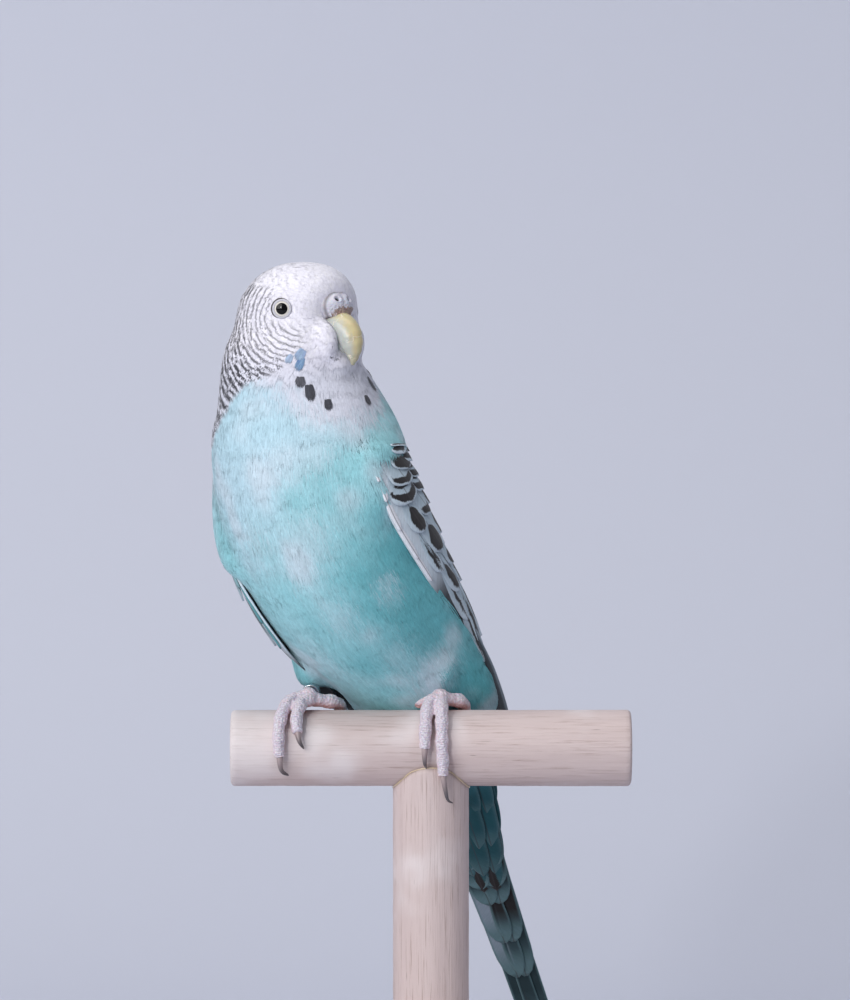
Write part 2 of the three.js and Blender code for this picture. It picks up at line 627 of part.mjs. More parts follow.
// A toe and its claw share one smooth path. The toe ends where the claw starts.
function toePath(toe, claw) {
  const curve = new THREE.CatmullRomCurve3([...toe, ...claw].map(barPoint), false, "centripetal");
  const ends = barPoint(toe[toe.length - 1]);
  const away = (w) => curve.getPointAt(w).distanceTo(ends);
  const tries = 200;
  let split = 0;
  for (let k = 0; k <= tries; k++) if (away(k / tries) < away(split)) split = k / tries;
  return { curve, split, gap: GAP / curve.getLength() };
}

function toeStops({ curve, split }) {
  return Array.from({ length: TOE.steps + 1 }, (_, k) => {
    const w = k / TOE.steps;
    const joints = 1 + TOE.joints * Math.sin(w * 3 * 2 * Math.PI);
    const radius = lerp(TOE.radius, TOE.tip, w) * joints * (k === TOE.steps ? TOE.end : 1);
    return { at: curve.getPointAt(w * split), a: radius, b: radius };
  });
}

function clawGeometry(toe, claw) {
  const { curve, split, gap } = toePath(toe, claw);
  const stops = Array.from({ length: CLAW.steps + 1 }, (_, k) => {
    const w = k / CLAW.steps;
    const radius = Math.max(CLAW.point, CLAW.radius * Math.sqrt(1 - w));
    return { at: curve.getPointAt(lerp(split + gap, 1, w)), a: radius * CLAW.flat, b: radius };
  });
  return limb(stops, SIDEWAYS, CLAW.sides);
}

const along = (from, to, w) => from.clone().lerp(to, w);

function tarsusEnds(foot) {
  return [barPoint(foot.palm), new THREE.Vector3(foot.ankle.x, foot.ankle.y, foot.ankle.z)];
}

// The feathered thigh, grown evenly for the socket that the torso keeps for it.
function thigh(name, grow = 0) {
  const stops = THIGHS[name];
  const path = new THREE.CatmullRomCurve3(stops.map(({ x, y, z }) => new THREE.Vector3(x, y, z)));
  const rows = Array.from({ length: THIGH_STEPS + 1 }, (_, k) => {
    const w = k / THIGH_STEPS;
    const t = w * (stops.length - 1);
    return { at: path.getPoint(w), a: smooth(stops, "half", t) + grow, b: smooth(stops, "deep", t) + grow };
  });
  if (grow) rows[0].at.add(rows[0].at.clone().sub(rows[1].at).setLength(grow));
  return solid(limb(rows, new THREE.Vector3(1, 0, 0), 16));
}

function tarsus(foot, grow, from = 0, to = 1) {
  const [palm, ankle] = tarsusEnds(foot);
  const radius = TARSUS.radius + grow;
  const stations = [from, lerp(from, to, 0.5), to];
  const stops = stations.map((w) => ({ at: along(palm, ankle, w), a: radius, b: radius }));
  return solid(limb(stops, SIDEWAYS, 12));
}

const palmBall = (foot, grow) =>
  solid(placed(new THREE.SphereGeometry(PALM.radius + grow, 10, 8), barPoint(foot.palm)));

function footGeometry(foot) {
  let shape = palmBall(foot, 0).add(tarsus(foot, 0));
  foot.toes.forEach((toe, k) => {
    shape = shape.add(solid(limb(toeStops(toePath(toe, foot.claws[k])), SIDEWAYS, TOE.sides)));
  });
  return geometryOf(shape.subtract(solid(barSolid(GAP))));
}

const legGeometry = (name) =>
  geometryOf(
    thigh(name)
      .subtract(solid(barSolid(GAP)))
      .subtract(tarsus(FEET[name], GAP, -0.2, 1.05))
      .subtract(palmBall(FEET[name], GAP))
      .subtract(wingRoom(name === "left" ? 1 : -1)),
  );

function torsoGeometry() {
  let torso = solid(bodyLength(TAIL_JOINT, NECK_JOINT, 18)).subtract(solid(barSolid(BELLY_CLEARANCE)));
  for (const name of ["left", "right"])
    torso = torso
      .subtract(thigh(name, GAP))
      .subtract(palmBall(FEET[name], 2 * GAP))
      .subtract(tarsus(FEET[name], GAP));
  return geometryOf(torso);
}

function ringGeometry(foot) {
  const [palm, ankle] = tarsusEnds(foot);
  const { inner, outer, width, along: place, sides } = RING;
  const profile = [
    new THREE.Vector2(inner, -width / 2),
    new THREE.Vector2(outer, -width / 2),
    new THREE.Vector2(outer, width / 2),
    new THREE.Vector2(inner, width / 2),
    new THREE.Vector2(inner, -width / 2),
  ];
  const turn = new THREE.Quaternion().setFromUnitVectors(
    new THREE.Vector3(0, 1, 0),
    ankle.clone().sub(palm).normalize(),
  );
  const shape = new THREE.LatheGeometry(profile, sides).applyQuaternion(turn);
  return placed(shape, along(palm, ankle, place));
}

const bird = new THREE.Group();
bird.position.z = BAR.height;
bird.add(named("torso", torsoGeometry(), "plumage"));
bird.add(named("neck", bodyLength(NECK_JOINT, HEAD_JOINT, 6), "plumage"));
bird.add(named("head", headGeometry(), "white"));
bird.add(named("cere", cereGeometry(), "cere"));
bird.add(named("bill_upper", upperBill(), "bill"));
bird.add(named("bill_lower", lowerBill(), "bill"));
for (const [name, side] of [["left", 1], ["right", -1]]) {
  bird.add(named(`eye_${name}`, cleaned(eyeball(side)), "eye"));
  bird.add(named(`wing_${name}`, wingGeometry(side), "wing"));
  bird.add(named(`leg_${name}`, legGeometry(name), "plumage"));
  bird.add(named(`foot_${name}`, footGeometry(FEET[name]), "skin"));
  FEET[name].claws.forEach((claw, k) => {
    bird.add(named(`claw_${name}_${k + 1}`, clawGeometry(FEET[name].toes[k], claw), "claw"));
  });
}
bird.add(named("leg_ring", ringGeometry(FEET.right), "ring"));
bird.add(named("tail", tailGeometry(), "tail"));

const stand = new THREE.Group();
const bar = named("perch_bar", cleaned(barSolid()), "wood");
bar.position.z = BAR.height;
stand.add(bar);
const post = named("stand_post", postGeometry(), "wood");
post.position.z = BAR.height;
stand.add(post);
stand.add(named("stand_base", cleaned(baseGeometry()), "wood"));

const model = new THREE.Group();
model.add(bird, stand);

export default model;
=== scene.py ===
from functools import partial

import bmesh
import bpy
import numpy as np
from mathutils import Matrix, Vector
from mathutils.bvhtree import BVHTree
from mathutils.kdtree import KDTree


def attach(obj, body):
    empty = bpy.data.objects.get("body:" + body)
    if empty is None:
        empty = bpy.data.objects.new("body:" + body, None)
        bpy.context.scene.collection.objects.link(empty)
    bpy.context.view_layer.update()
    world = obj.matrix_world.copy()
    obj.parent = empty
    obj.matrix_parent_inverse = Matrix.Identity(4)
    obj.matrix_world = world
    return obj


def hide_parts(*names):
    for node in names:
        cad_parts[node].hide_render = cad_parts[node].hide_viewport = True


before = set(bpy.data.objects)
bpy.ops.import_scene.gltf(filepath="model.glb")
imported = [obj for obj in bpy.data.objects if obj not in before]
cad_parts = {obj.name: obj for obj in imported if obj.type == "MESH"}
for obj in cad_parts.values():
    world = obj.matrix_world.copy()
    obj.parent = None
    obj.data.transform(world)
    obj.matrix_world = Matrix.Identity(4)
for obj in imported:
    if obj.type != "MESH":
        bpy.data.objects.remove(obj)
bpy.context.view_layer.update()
print("frame loaded")

# All shapes below are counted in millimetres from the perch bar's axis, x to the right,
# y away from the viewer and z up. meshPiece turns them into metres above the floor.
barHeight = 96.0
seed = 7

# numbers and curves


def ringTurns(sides):  # angles of the points of a closed ring
    return np.arange(sides) / sides * 2 * np.pi


def smooth(table, t):  # Catmull-Rom through the rows of a table, at row numbers t
    table = np.asarray(table, float)
    padded = np.vstack([2 * table[0] - table[1], table, 2 * table[-1] - table[-2]])
    t = np.asarray(t, float)
    i = np.clip(np.floor(t).astype(int), 0, len(table) - 2)
    w = (t - i)[..., None]
    a, b, c, d = (padded[i + k] for k in range(4))
    return 0.5 * (2 * b + (c - a) * w + (2 * a - 5 * b + 4 * c - d) * w ** 2 + (3 * b - a - 3 * c + d) * w ** 3)


def unit(v):
    return v / np.maximum(np.linalg.norm(v, axis=-1, keepdims=True), 1e-9)


def mix(a, b, w):
    return a + (b - a) * w


def step(low, high, x):  # 0 below low, 1 above high, smooth between
    w = np.clip((x - low) / (high - low), 0, 1)
    return w * w * (3 - 2 * w)


def rgb(red, green, blue):  # linear colour from 0 to 255 screen values
    c = np.array([red, green, blue]) / 255
    return np.where(c <= 0.04045, c / 12.92, ((c + 0.055) / 1.055) ** 2.4)


def rgba(red, green, blue):
    return (*[float(v) for v in rgb(red, green, blue)], 1.0)


def ripple(p, size, turn):  # soft even noise between -1 and 1, features about size across
    total = np.zeros(p.shape[:-1])
    draw = np.random.default_rng(turn)
    for k in range(7):
        way = unit(draw.normal(size=3)) * (2 * np.pi / size) * draw.uniform(0.6, 1.5)
        total += np.sin(p @ way + draw.uniform(0, 2 * np.pi))
    return total / 3.2


# the bird's form

# middle x, y, z, then half width, reach to the front and back, and heading, from tail to brow
bodyRows = [
    (22.4, 45.6, -62, 4.3, 1.4, 1.4, -22),
    (11.8, 32.6, -30, 7.2, 2.4, 2, -22),
    (3.6, 22.2, -4, 11.4, 6.6, 6.2, -22),
    (-1.6, 16.2, 9, 16, 10, 9.4, -22),
    (-7.6, 9.4, 22, 17.7, 15.6, 13, -22),
    (-17.2, 1.8, 37, 22, 20, 16.4, -22),
    (-25.8, -4.3, 53.5, 23.5, 20.8, 17.4, -22),
    (-30.2, -6, 68, 22.4, 19.6, 17.2, -20),
    (-30.9, -5.2, 80, 20.9, 17.6, 17.6, 4),
    (-32.6, -4.8, 90.5, 17.8, 16.3, 17.5, 30),
    (-32, -5.2, 99, 15.2, 15.4, 15.8, 43),
    (-31.8, -5.5, 103.5, 14.4, 14.9, 15, 47),
]
brow = len(bodyRows) - 1
crown = {"height": 12.8, "steps": 6, "forward": 1.6}
head = {"x": -31.8, "y": -5.5, "z": 103.5, "heading": 47}
# left, forward and up in the head's frame, the rise and its spread
reliefs = [
    (0, 14.5, -1.5, -3.2, 4.8),
    (12.8, 7, 1, -0.7, 2.6),
    (-12.8, 7, 1, -0.7, 2.6),
    (8.5, 11.5, -9, 0.9, 4.5),
    (-8.5, 11.5, -9, 0.9, 4.5),
    (0, 12.5, 8, 0.7, 4.5),
    (13.1, 14, -17.0, -2.3, 5.8),
]
neckStart = 7.4
thighs = {
    "right": [(-24.5, 5.5, 30, 8, 8), (-27, 5.6, 24, 7.6, 7), (-28, 7, 18.8, 5.6, 5), (-28, 8.4, 14.9, 4, 3.2)],
    "left": [(-2, 2, 28, 7.4, 7.4), (1, 1.6, 22, 6.6, 6.4), (2.2, 1.6, 18.2, 5, 5), (2.4, 1.8, 15.4, 3.4, 3.6)],
}
bar = {"radius": 9.1, "length": 95.8, "chamfer": 0.7, "sides": 96}


def addCrown():
    x, y, z, half, front, back, heading = bodyRows[brow]
    for k in range(1, crown["steps"] + 1):
        turn = k / crown["steps"] * np.pi / 2
        out = crown["forward"] * np.sin(turn)
        shrink = max(np.cos(turn), 0.0)
        bodyRows.append((
            x + out * np.sin(np.radians(heading)),
            y - out * np.cos(np.radians(heading)),
            z + crown["height"] * np.sin(turn),
            half * shrink ** 0.92, front * shrink ** 0.86, back * shrink ** 0.92, heading,
        ))


addCrown()
top = len(bodyRows) - 1


def sectionAt(t):  # middle, up, forward, left and sizes of the body's section
    t = np.asarray(t, float)
    rows = smooth(bodyRows, t)
    along = unit(smooth(bodyRows, t + 0.05)[..., :3] - smooth(bodyRows, t - 0.05)[..., :3])
    level = np.zeros_like(along)
    level[..., 2] = 1
    w = np.clip(t - brow + 1.6, 0, 1)[..., None]
    up = unit(mix(along, level, w))
    heading = np.radians(rows[..., 6])
    faces = np.stack([np.sin(heading), -np.cos(heading), np.zeros_like(heading)], -1)
    left = unit(np.cross(up, faces))
    return rows[..., :3], up, unit(np.cross(left, up)), left, rows[..., 3:6]


def headPoint(left, forward, up):
    turn = np.radians(head["heading"])
    c, s = np.cos(turn), np.sin(turn)
    left, forward, up = np.broadcast_arrays(*[np.asarray(v, float) for v in (left, forward, up)])
    return np.stack([left * c + forward * s + head["x"], left * s - forward * c + head["y"], up + head["z"]], -1)


def inHead(p):  # left, forward and up of a point in the head's frame
    turn = np.radians(head["heading"])
    c, s = np.cos(turn), np.sin(turn)
    x, y, z = p[..., 0] - head["x"], p[..., 1] - head["y"], p[..., 2] - head["z"]
    return np.stack([x * c + y * s, x * s - y * c, z], -1)


def relief(p):
    total = np.zeros(p.shape[:-1])
    for left, forward, up, rise, spread in reliefs:
        total += rise * np.exp(-((p - headPoint(left, forward, up)) ** 2).sum(-1) / (2 * spread ** 2))
    return total


def bodyPoint(t, angle, lift=0.0):
    t, angle, lift = np.broadcast_arrays(*[np.asarray(v, float) for v in (t, angle, lift)])
    centre, up, forward, left, sizes = sectionAt(t)
    reach = np.maximum(np.where(np.cos(angle) > 0, sizes[..., 1], sizes[..., 2]), 0)
    half = np.maximum(sizes[..., 0], 0)

    def place(rise):
        return (centre + forward * ((reach + rise) * np.cos(angle))[..., None]
                + left * ((half + rise) * np.sin(angle))[..., None])

    return place(lift + np.where((t > neckStart) & (t < top), relief(place(0)), 0))


# meshes


def inMetres(points):  # from the bar's axis to above the floor
    return ((points + (0, 0, barHeight)) * 0.001).astype(np.float32).ravel()


def writeValues(mesh, values):  # numbers or vectors, one for each point
    for key, data in values.items():
        data = np.asarray(data, np.float32)
        kind, field = ("FLOAT", "value") if data.ndim == 1 else ("FLOAT_VECTOR", "vector")
        mesh.attributes.new(key, kind, "POINT").data.foreach_set(field, data.ravel())


def meshPiece(name, points, faces, finish, values=None):
    # faces is a list of index arrays, each with rows of equal length
    mesh = bpy.data.meshes.new(name)
    points = np.asarray(points, float).reshape(-1, 3)
    mesh.vertices.add(len(points))
    mesh.vertices.foreach_set("co", inMetres(points))
    loops = np.concatenate([np.asarray(f, np.int64).ravel() for f in faces])
    sizes = np.concatenate([np.full(len(f), np.asarray(f).shape[1]) for f in faces])
    mesh.loops.add(len(loops))
    mesh.loops.foreach_set("vertex_index", loops.astype(np.int32))
    mesh.polygons.add(len(sizes))
    mesh.polygons.foreach_set("loop_start", (np.cumsum(sizes) - sizes).astype(np.int32))
    mesh.polygons.foreach_set("use_smooth", np.full(len(sizes), True))
    writeValues(mesh, values or {})
    mesh.update(calc_edges=True)
    mesh.validate()
    made = bpy.data.objects.new(name, mesh)
    bpy.context.scene.collection.objects.link(made)
    if finish:
        mesh.materials.append(finish)
    return made


def gridFaces(rows, cols, closed=False, looped=False):
    # quads of a grid of points, closed across each row and looped from the last row to the first
    i, j = np.meshgrid(np.arange(rows - (not looped)), np.arange(cols - (not closed)), indexing="ij")
    a, b = (i * cols + j).ravel(), (i * cols + (j + 1) % cols).ravel()
    count = rows * cols
    return np.stack([a, b, (b + cols) % count, (a + cols) % count], -1)


def loftFaces(rows, cols):  # a closed tube with a fan to a point at each end
    quads = gridFaces(rows, cols, True)
    k = np.arange(cols)
    low, high = rows * cols, rows * cols + 1
    last = (rows - 1) * cols
    caps = np.concatenate([
        np.stack([(k + 1) % cols, k, np.full(cols, low)], -1),
        np.stack([last + k, last + (k + 1) % cols, np.full(cols, high)], -1),
    ])
    return [quads, caps]


def tube(centres, across, over, halves, depths, sides):
    # rings of a tube round its centres, with the two end points at the end of the list
    turn = ringTurns(sides)
    rings = (centres[:, None] + across[:, None] * (halves[:, None] * np.cos(turn))[..., None]
             + over[:, None] * (depths[:, None] * np.sin(turn))[..., None])
    return np.concatenate([rings.reshape(-1, 3), centres[:1], centres[-1:]])


def tubeAlong(path, halves, depths, sides, side=(1, 0.01, 0.02)):
    along = unit(np.gradient(path, axis=0))
    side = np.asarray(side, float)
    across = unit(side - along * (along @ side)[:, None])
    over = np.cross(along, across)
    return tube(path, across, over, np.asarray(halves, float), np.asarray(depths, float), sides)


def outward(made, merge=True):  # turns the faces of closed shells outwards
    work = bmesh.new()
    work.from_mesh(made.data)
    if merge:
        bmesh.ops.remove_doubles(work, verts=work.verts, dist=1e-7)
    bmesh.ops.recalc_face_normals(work, faces=work.faces)
    work.to_mesh(made.data)
    work.free()
    return made


def outwardKeeping(made):  # the same for many small shells, whose points stay apart
    return outward(made, False)


def applied(made):  # swaps the mesh for the one its modifiers give
    mesh = bpy.data.meshes.new_from_object(made.evaluated_get(bpy.context.evaluated_depsgraph_get()))
    old = made.data
    made.modifiers.clear()
    made.data = mesh
    bpy.data.meshes.remove(old)
    return made


def rounded(made, voxel, iterations):  # closes overlapping shells to one skin and softens it
    for kind, settings in (("REMESH", {"mode": "VOXEL", "voxel_size": voxel}),
                           ("SMOOTH", {"iterations": iterations, "factor": 0.5})):
        change = made.modifiers.new(kind, kind)
        for key, value in settings.items():
            setattr(change, key, value)
    return applied(made)


def joined(name, pieces):
    with bpy.context.temp_override(active_object=pieces[0], selected_editable_objects=pieces, selected_objects=pieces):
        bpy.ops.object.join()
    pieces[0].name = name
    return pieces[0]


def pointsOf(made):
    co = np.empty(len(made.data.vertices) * 3, np.float32)
    made.data.vertices.foreach_get("co", co)
    return co.reshape(-1, 3).astype(float) * 1000 - (0, 0, barHeight)


def setPoints(made, points):
    made.data.vertices.foreach_set("co", inMetres(points))
    made.data.update()


def normalsOf(made):
    n = np.empty(len(made.data.vertices) * 3, np.float32)
    made.data.vertex_normals.foreach_get("vector", n)
    return n.reshape(-1, 3).astype(float)


def shadeSmooth(made):
    made.data.polygons.foreach_set("use_smooth", np.ones(len(made.data.polygons), bool))


def keep(made, slotName, *nodes):  # the closing calls for a piece of the bird or its stand
    if nodes:
        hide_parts(*nodes)
    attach(made, "root")
    return made


# materials


def addNode(tree, kind, inputs=None, **settings):
    made = tree.nodes.new(kind)
    for key, value in settings.items():
        setattr(made, key, value)
    for key, value in (inputs or {}).items():
        if isinstance(value, bpy.types.NodeSocket):
            tree.links.new(value, made.inputs[key])
        else:
            made.inputs[key].default_value = value
    return made


def calc(tree, operation, *values):
    return addNode(tree, "ShaderNodeMath", dict(enumerate(values)), operation=operation).outputs[0]


def between(tree, value, low, high):  # smooth step
    made = addNode(tree, "ShaderNodeMapRange", {0: value, 1: low, 2: high}, interpolation_type="SMOOTHSTEP")
    return made.outputs[0]


def blend(tree, factor, a, b, kind="MIX"):
    made = addNode(tree, "ShaderNodeMix", {0: factor, 6: a, 7: b}, data_type="RGBA", blend_type=kind)
    return made.outputs[2]


def noise(tree, vector, scale, detail=3.0, roughness=0.5):
    inputs = {"Vector": vector, "Scale": scale, "Detail": detail, "Roughness": roughness}
    return addNode(tree, "ShaderNodeTexNoise", inputs).outputs[0]


def voronoi(tree, vector, scale, feature="F1", out="Distance"):
    return addNode(tree, "ShaderNodeTexVoronoi", {"Vector": vector, "Scale": scale}, feature=feature).outputs[out]


def scaled(tree, vector, x, y, z):
    return addNode(tree, "ShaderNodeMapping", {"Vector": vector, "Scale": (x, y, z)}).outputs[0]


def shaded(tree, colour, shade):  # a colour made darker or lighter by a number
    grey = addNode(tree, "ShaderNodeCombineXYZ", {0: shade, 1: shade, 2: shade}).outputs[0]
    return blend(tree, 1.0, colour, grey, "MULTIPLY")


def attribute(tree, name):
    return addNode(tree, "ShaderNodeAttribute", attribute_name=name)


def startMaterial(name):
    made = bpy.data.materials.new(name)
    made.use_nodes = True
    tree = made.node_tree
    shader = tree.nodes["Principled BSDF"]
    place = addNode(tree, "ShaderNodeTexCoord").outputs["Object"]
    return made, tree, shader, place


def closeMaterial(tree, shader, colour, roughness, height=None, distance=0.0002, strength=0.6, **sockets):
    for key, value in (("Base Color", colour), ("Roughness", roughness)):
        if isinstance(value, bpy.types.NodeSocket):
            tree.links.new(value, shader.inputs[key])
        else:
            shader.inputs[key].default_value = value
    if height is not None:
        bump = addNode(tree, "ShaderNodeBump", {"Height": height, "Distance": distance, "Strength": strength})
        tree.links.new(bump.outputs[0], shader.inputs["Normal"])
    for key, value in sockets.items():
        shader.inputs[key.replace("_", " ")].default_value = value


def plumageMaterial():
    # tint is the colour of the down; bars is (phase, ink, width) of the dark striping
    made, tree, shader, place = startMaterial("downyPlumage")
    tint = attribute(tree, "tint").outputs["Color"]
    parts = addNode(tree, "ShaderNodeSeparateXYZ", {0: attribute(tree, "bars").outputs["Vector"]}).outputs
    wobble = calc(tree, "MULTIPLY_ADD", noise(tree, place, 420.0, 2.0), 0.5, -0.25)
    phase = calc(tree, "FRACT", calc(tree, "ADD", parts[0], wobble))
    away = calc(tree, "ABSOLUTE", calc(tree, "SUBTRACT", phase, 0.5))
    inside = calc(tree, "SUBTRACT", calc(tree, "MULTIPLY", parts[2], 0.5), away)
    line = between(tree, inside, -0.09, 0.07)
    ink = calc(tree, "MULTIPLY", line, parts[1])
    fine = noise(tree, scaled(tree, place, 1, 1, 0.25), 2600.0, 2.0)
    shade = calc(tree, "MULTIPLY_ADD", fine, 0.22, 0.89)
    colour = blend(tree, ink, shaded(tree, tint, shade), rgba(34, 34, 44))
    closeMaterial(tree, shader, colour, 0.72, Sheen_Weight=0.25, Sheen_Roughness=0.5, Specular_IOR_Level=0.25)
    return made


plumage = plumageMaterial()


# the wings' shape

# t, lower edge of the left and right wing, upper edge of both in degrees from the front, and
# how far the left and right wing's underside stands off the body
wingRows = [
    (7.3, 76, 116, 116, 0.55, 0.55), (7.05, 62, 98, 134, 0.55, 0.55), (6.5, 61, 82, 152, 0.55, 0.55),
    (6, 60, 64, 163, 0.55, 0.55), (5.5, 62, 55, 168, 0.55, 0.55), (5, 65.5, 54, 170, 0.55, 0.55),
    (4.5, 70, 60, 172, 0.55, 0.7), (4, 76, 72, 173, 0.7, 1.4), (3.5, 80, 79, 174, 1.2, 2.6),
    (3, 86, 86, 174, 2.2, 3.2), (2.6, 99, 99, 172, 3, 3.4), (2.25, 118, 118, 170, 3.4, 3.4),
    (1.9, 144, 144, 164, 3.4, 3.4),
]
wingThick = {"root": 2.2, "tip": 0.9, "taper": 0.7, "edge": 0.45}


# how much further out the left and right wing swell: rise, middle along the wing and spread
wingSwell = {1: (1.3, 0.55, 0.1), -1: (0.4, 0.42, 0.16)}


def wingStand(side, u, v):
    rows = smooth(wingRows, np.clip(u, 0, 1) * (len(wingRows) - 1))
    rise, middle, spread = wingSwell[side]
    swell = rise * np.exp(-((u - middle) / spread) ** 2) * (step(0.05, 0.25, v) if side > 0 else 1)
    return rows, rows[..., 4 if side > 0 else 5] + swell


def wingPlace(side, u, v, rise):
    rows, stand = wingStand(side, u, v)
    low = rows[..., 1] if side > 0 else rows[..., 2]
    angle = np.radians(mix(low, rows[..., 3], v))
    return bodyPoint(rows[..., 0], side * angle, stand + rise)


def wingRise(u, v):
    thick = mix(wingThick["root"], wingThick["tip"], np.clip(u, 0, 1) ** wingThick["taper"])
    return thick * mix(wingThick["edge"], 1, np.sin(np.pi * np.clip(v, 0, 1)))


def wingSpan(t, side):
    rows = np.array(wingRows[::-1])
    low = np.interp(t, rows[:, 0], rows[:, 1 if side > 0 else 2])
    return low, np.interp(t, rows[:, 0], rows[:, 3])


def slabFaces(rows, cols):  # a closed shell between two grids of points, one after the other
    n = rows * cols
    quads = gridFaces(rows, cols)
    rim = np.concatenate([np.arange(cols - 1), np.arange(rows - 1) * cols + cols - 1,
                          n - 1 - np.arange(cols - 1), (rows - 1 - np.arange(rows - 1)) * cols])
    after = np.roll(rim, -1)
    return np.concatenate([quads[:, ::-1], quads + n, np.stack([rim, after, after + n, rim + n], -1)])


# the form that the coat follows

skinSettings = {
    "rows": 150, "crownRows": 40, "sides": 120, "thighRows": 26, "thighSides": 40, "padRows": 20, "padSides": 28,
    "voxel": 0.0009, "softening": 8, "depth": 0.17, "faceDepth": 0.15, "tailEnd": 1.75,
}


def bodyShell(covered=False):
    overCrown = crown["steps"] * (1 - (1 - np.linspace(0.04, 1, skinSettings["crownRows"])) ** 1.6)
    t = np.concatenate([np.linspace(skinSettings["tailEnd"], brow, skinSettings["rows"]), brow + overCrown])
    t = np.minimum(t, top - 0.01)
    angle = ringTurns(skinSettings["sides"])
    grid = bodyPoint(t[:, None], angle[None], coverLift(t[:, None], angle[None]) if covered else 0.0)
    points = np.concatenate([grid.reshape(-1, 3), grid[:1].mean(1), grid[-1:].mean(1)])
    return outward(meshPiece("bodyShell", points, loftFaces(len(t), len(angle)), None))


def thighShell(name):
    count, sides = skinSettings["thighRows"], skinSettings["thighSides"]
    rows = smooth(thighs[name], np.linspace(0, 3, count))
    points = tubeAlong(rows[:, :3], rows[:, 3], rows[:, 4], sides, (1, 0, 0))
    return outward(meshPiece("thighShell", points, loftFaces(count, sides), None))


# soft pads of the face that swell round the bill: left, forward and up, then half sizes
facePads = [(4.5, 12.7, -6.8, 3.4, 4.3, 5.4), (-4.5, 12.7, -6.8, 3.4, 4.3, 5.4), (0, 12.3, -12.4, 5.6, 4.6, 4.8)]


def ballWays(rows, sides):  # left, forward and up of directions over a ball, its two poles last
    polar, turn = np.meshgrid(np.linspace(0.03, np.pi - 0.03, rows), ringTurns(sides), indexing="ij")
    ways = np.stack([np.sin(polar) * np.cos(turn), np.cos(polar), np.sin(polar) * np.sin(turn)], -1)
    return np.concatenate([ways.reshape(-1, 3), [[0, 1, 0], [0, -1, 0]]])


def padShell(left, forward, up, wide, deep, high):
    rows, sides = skinSettings["padRows"], skinSettings["padSides"]
    h = ballWays(rows, sides) * (wide, deep, high) + (left, forward, up)
    return outward(meshPiece("facePad", headPoint(*h.T), loftFaces(rows, sides), None))


# where the coat lies over the wings: how far ahead of and behind them it starts to climb, the
# stations between which it climbs at the shoulder and leaves again, and at the left flank
coverReach = {
    "ahead": 20, "behind": 14, "gap": {1: 0.35, -1: 1.3}, "shoulder": (9.0, 7.2),
    "leaves": {1: (5.9, 6.2), -1: (5.7, 6.0)}, "flank": (5.3, 4.4), "flankWidth": 26, "flankSoft": 8,
}


def coverLift(t, angle):
    total = np.zeros(np.broadcast(t, angle).shape)
    degrees = np.degrees((angle + np.pi) % (2 * np.pi) - np.pi)
    stations = np.array(wingRows)[::-1, 0]
    u = 1 - np.interp(t, stations, np.linspace(0, 1, len(stations)))
    for side in (1, -1):
        low, high = wingSpan(t, side)
        a = side * degrees
        v = np.clip((a - low) / np.maximum(high - low, 1), 0, 1)
        rise = wingStand(side, u + 0 * v, v)[1] + wingRise(u, v) + coverReach["gap"][side]
        across = step(low - coverReach["ahead"], low + 2, a) * step(high + coverReach["behind"], high, a)
        along = step(*coverReach["shoulder"], t) * step(*coverReach["leaves"][side], t)
        if side > 0:
            flankEnd = low + coverReach["flankWidth"]
            onFlank = step(flankEnd + coverReach["flankSoft"], flankEnd, a)
            along = np.maximum(along, step(*coverReach["flank"], t) * onFlank)
        total = np.maximum(total, rise * across * along)
    return total


def formOf(name, shells):
    return rounded(joined(name, shells), skinSettings["voxel"], skinSettings["softening"])


def fleshShells(covered=False):
    return [bodyShell(covered), thighShell("left"), thighShell("right"), *[padShell(*pad) for pad in facePads]]


cover = formOf("coverForm", fleshShells(True))
formPoints = pointsOf(cover)
formFaces = [tuple(f.vertices) for f in cover.data.polygons]
formTree = BVHTree.FromPolygons([Vector(p) for p in formPoints], formFaces, all_triangles=False)
bpy.data.objects.remove(cover)
form = formOf("birdSkin", fleshShells())
print("form:", len(formPoints), "points")


def onForm(points):  # nearest places on the form, and the form's directions there
    places, normals = np.empty_like(points), np.empty_like(points)
    for k, p in enumerate(points.tolist()):
        hit = formTree.find_nearest(p)
        places[k], normals[k] = hit[0], hit[1]
    return places, normals


# station and angle of any place on the coat
stationRows, stationTurns = np.linspace(0.9, top - 0.05, 240), np.linspace(-np.pi, np.pi, 150)[:-1]
stationGrid = np.stack(np.meshgrid(stationRows, stationTurns, indexing="ij"), -1).reshape(-1, 2)
stationTree = KDTree(len(stationGrid))
for k, p in enumerate(bodyPoint(stationGrid[:, 0], stationGrid[:, 1]).tolist()):
    stationTree.insert(p, k)
stationTree.balance()


def stationsOf(points):
    return stationGrid[[stationTree.find(p)[1] for p in points.tolist()]]


# markings

eye = {
    "radius": 3.2, "left": 10.4, "forward": 5.6, "up": 1, "turn": 54, "pupil": 1.38, "iris": 1.78, "ring": 2.1,
    "rows": 72, "sides": 56,
}
colours = {
    "white": rgb(240, 238, 250),
    "greyWhite": rgb(206, 219, 230),
    "sky": rgb(180, 213, 227),
    "turquoise": rgb(150, 208, 217),
    "teal": rgb(100, 180, 189),
    # the deeper teal below is painted shade for the low left flank, away from the key light
    "deepTealShade": rgb(76, 158, 168),
    "rump": rgb(96, 170, 190),
    "mantle": rgb(216, 222, 230),
    # the throat colour is the bib's white with painted shade under the head
    "throat": rgb(218, 220, 233),
}
barring = {"side": 0.55, "forward": 9.0, "up": -1.0, "start": 4.0, "near": 0.74, "far": 1.7, "grows": 20.0}
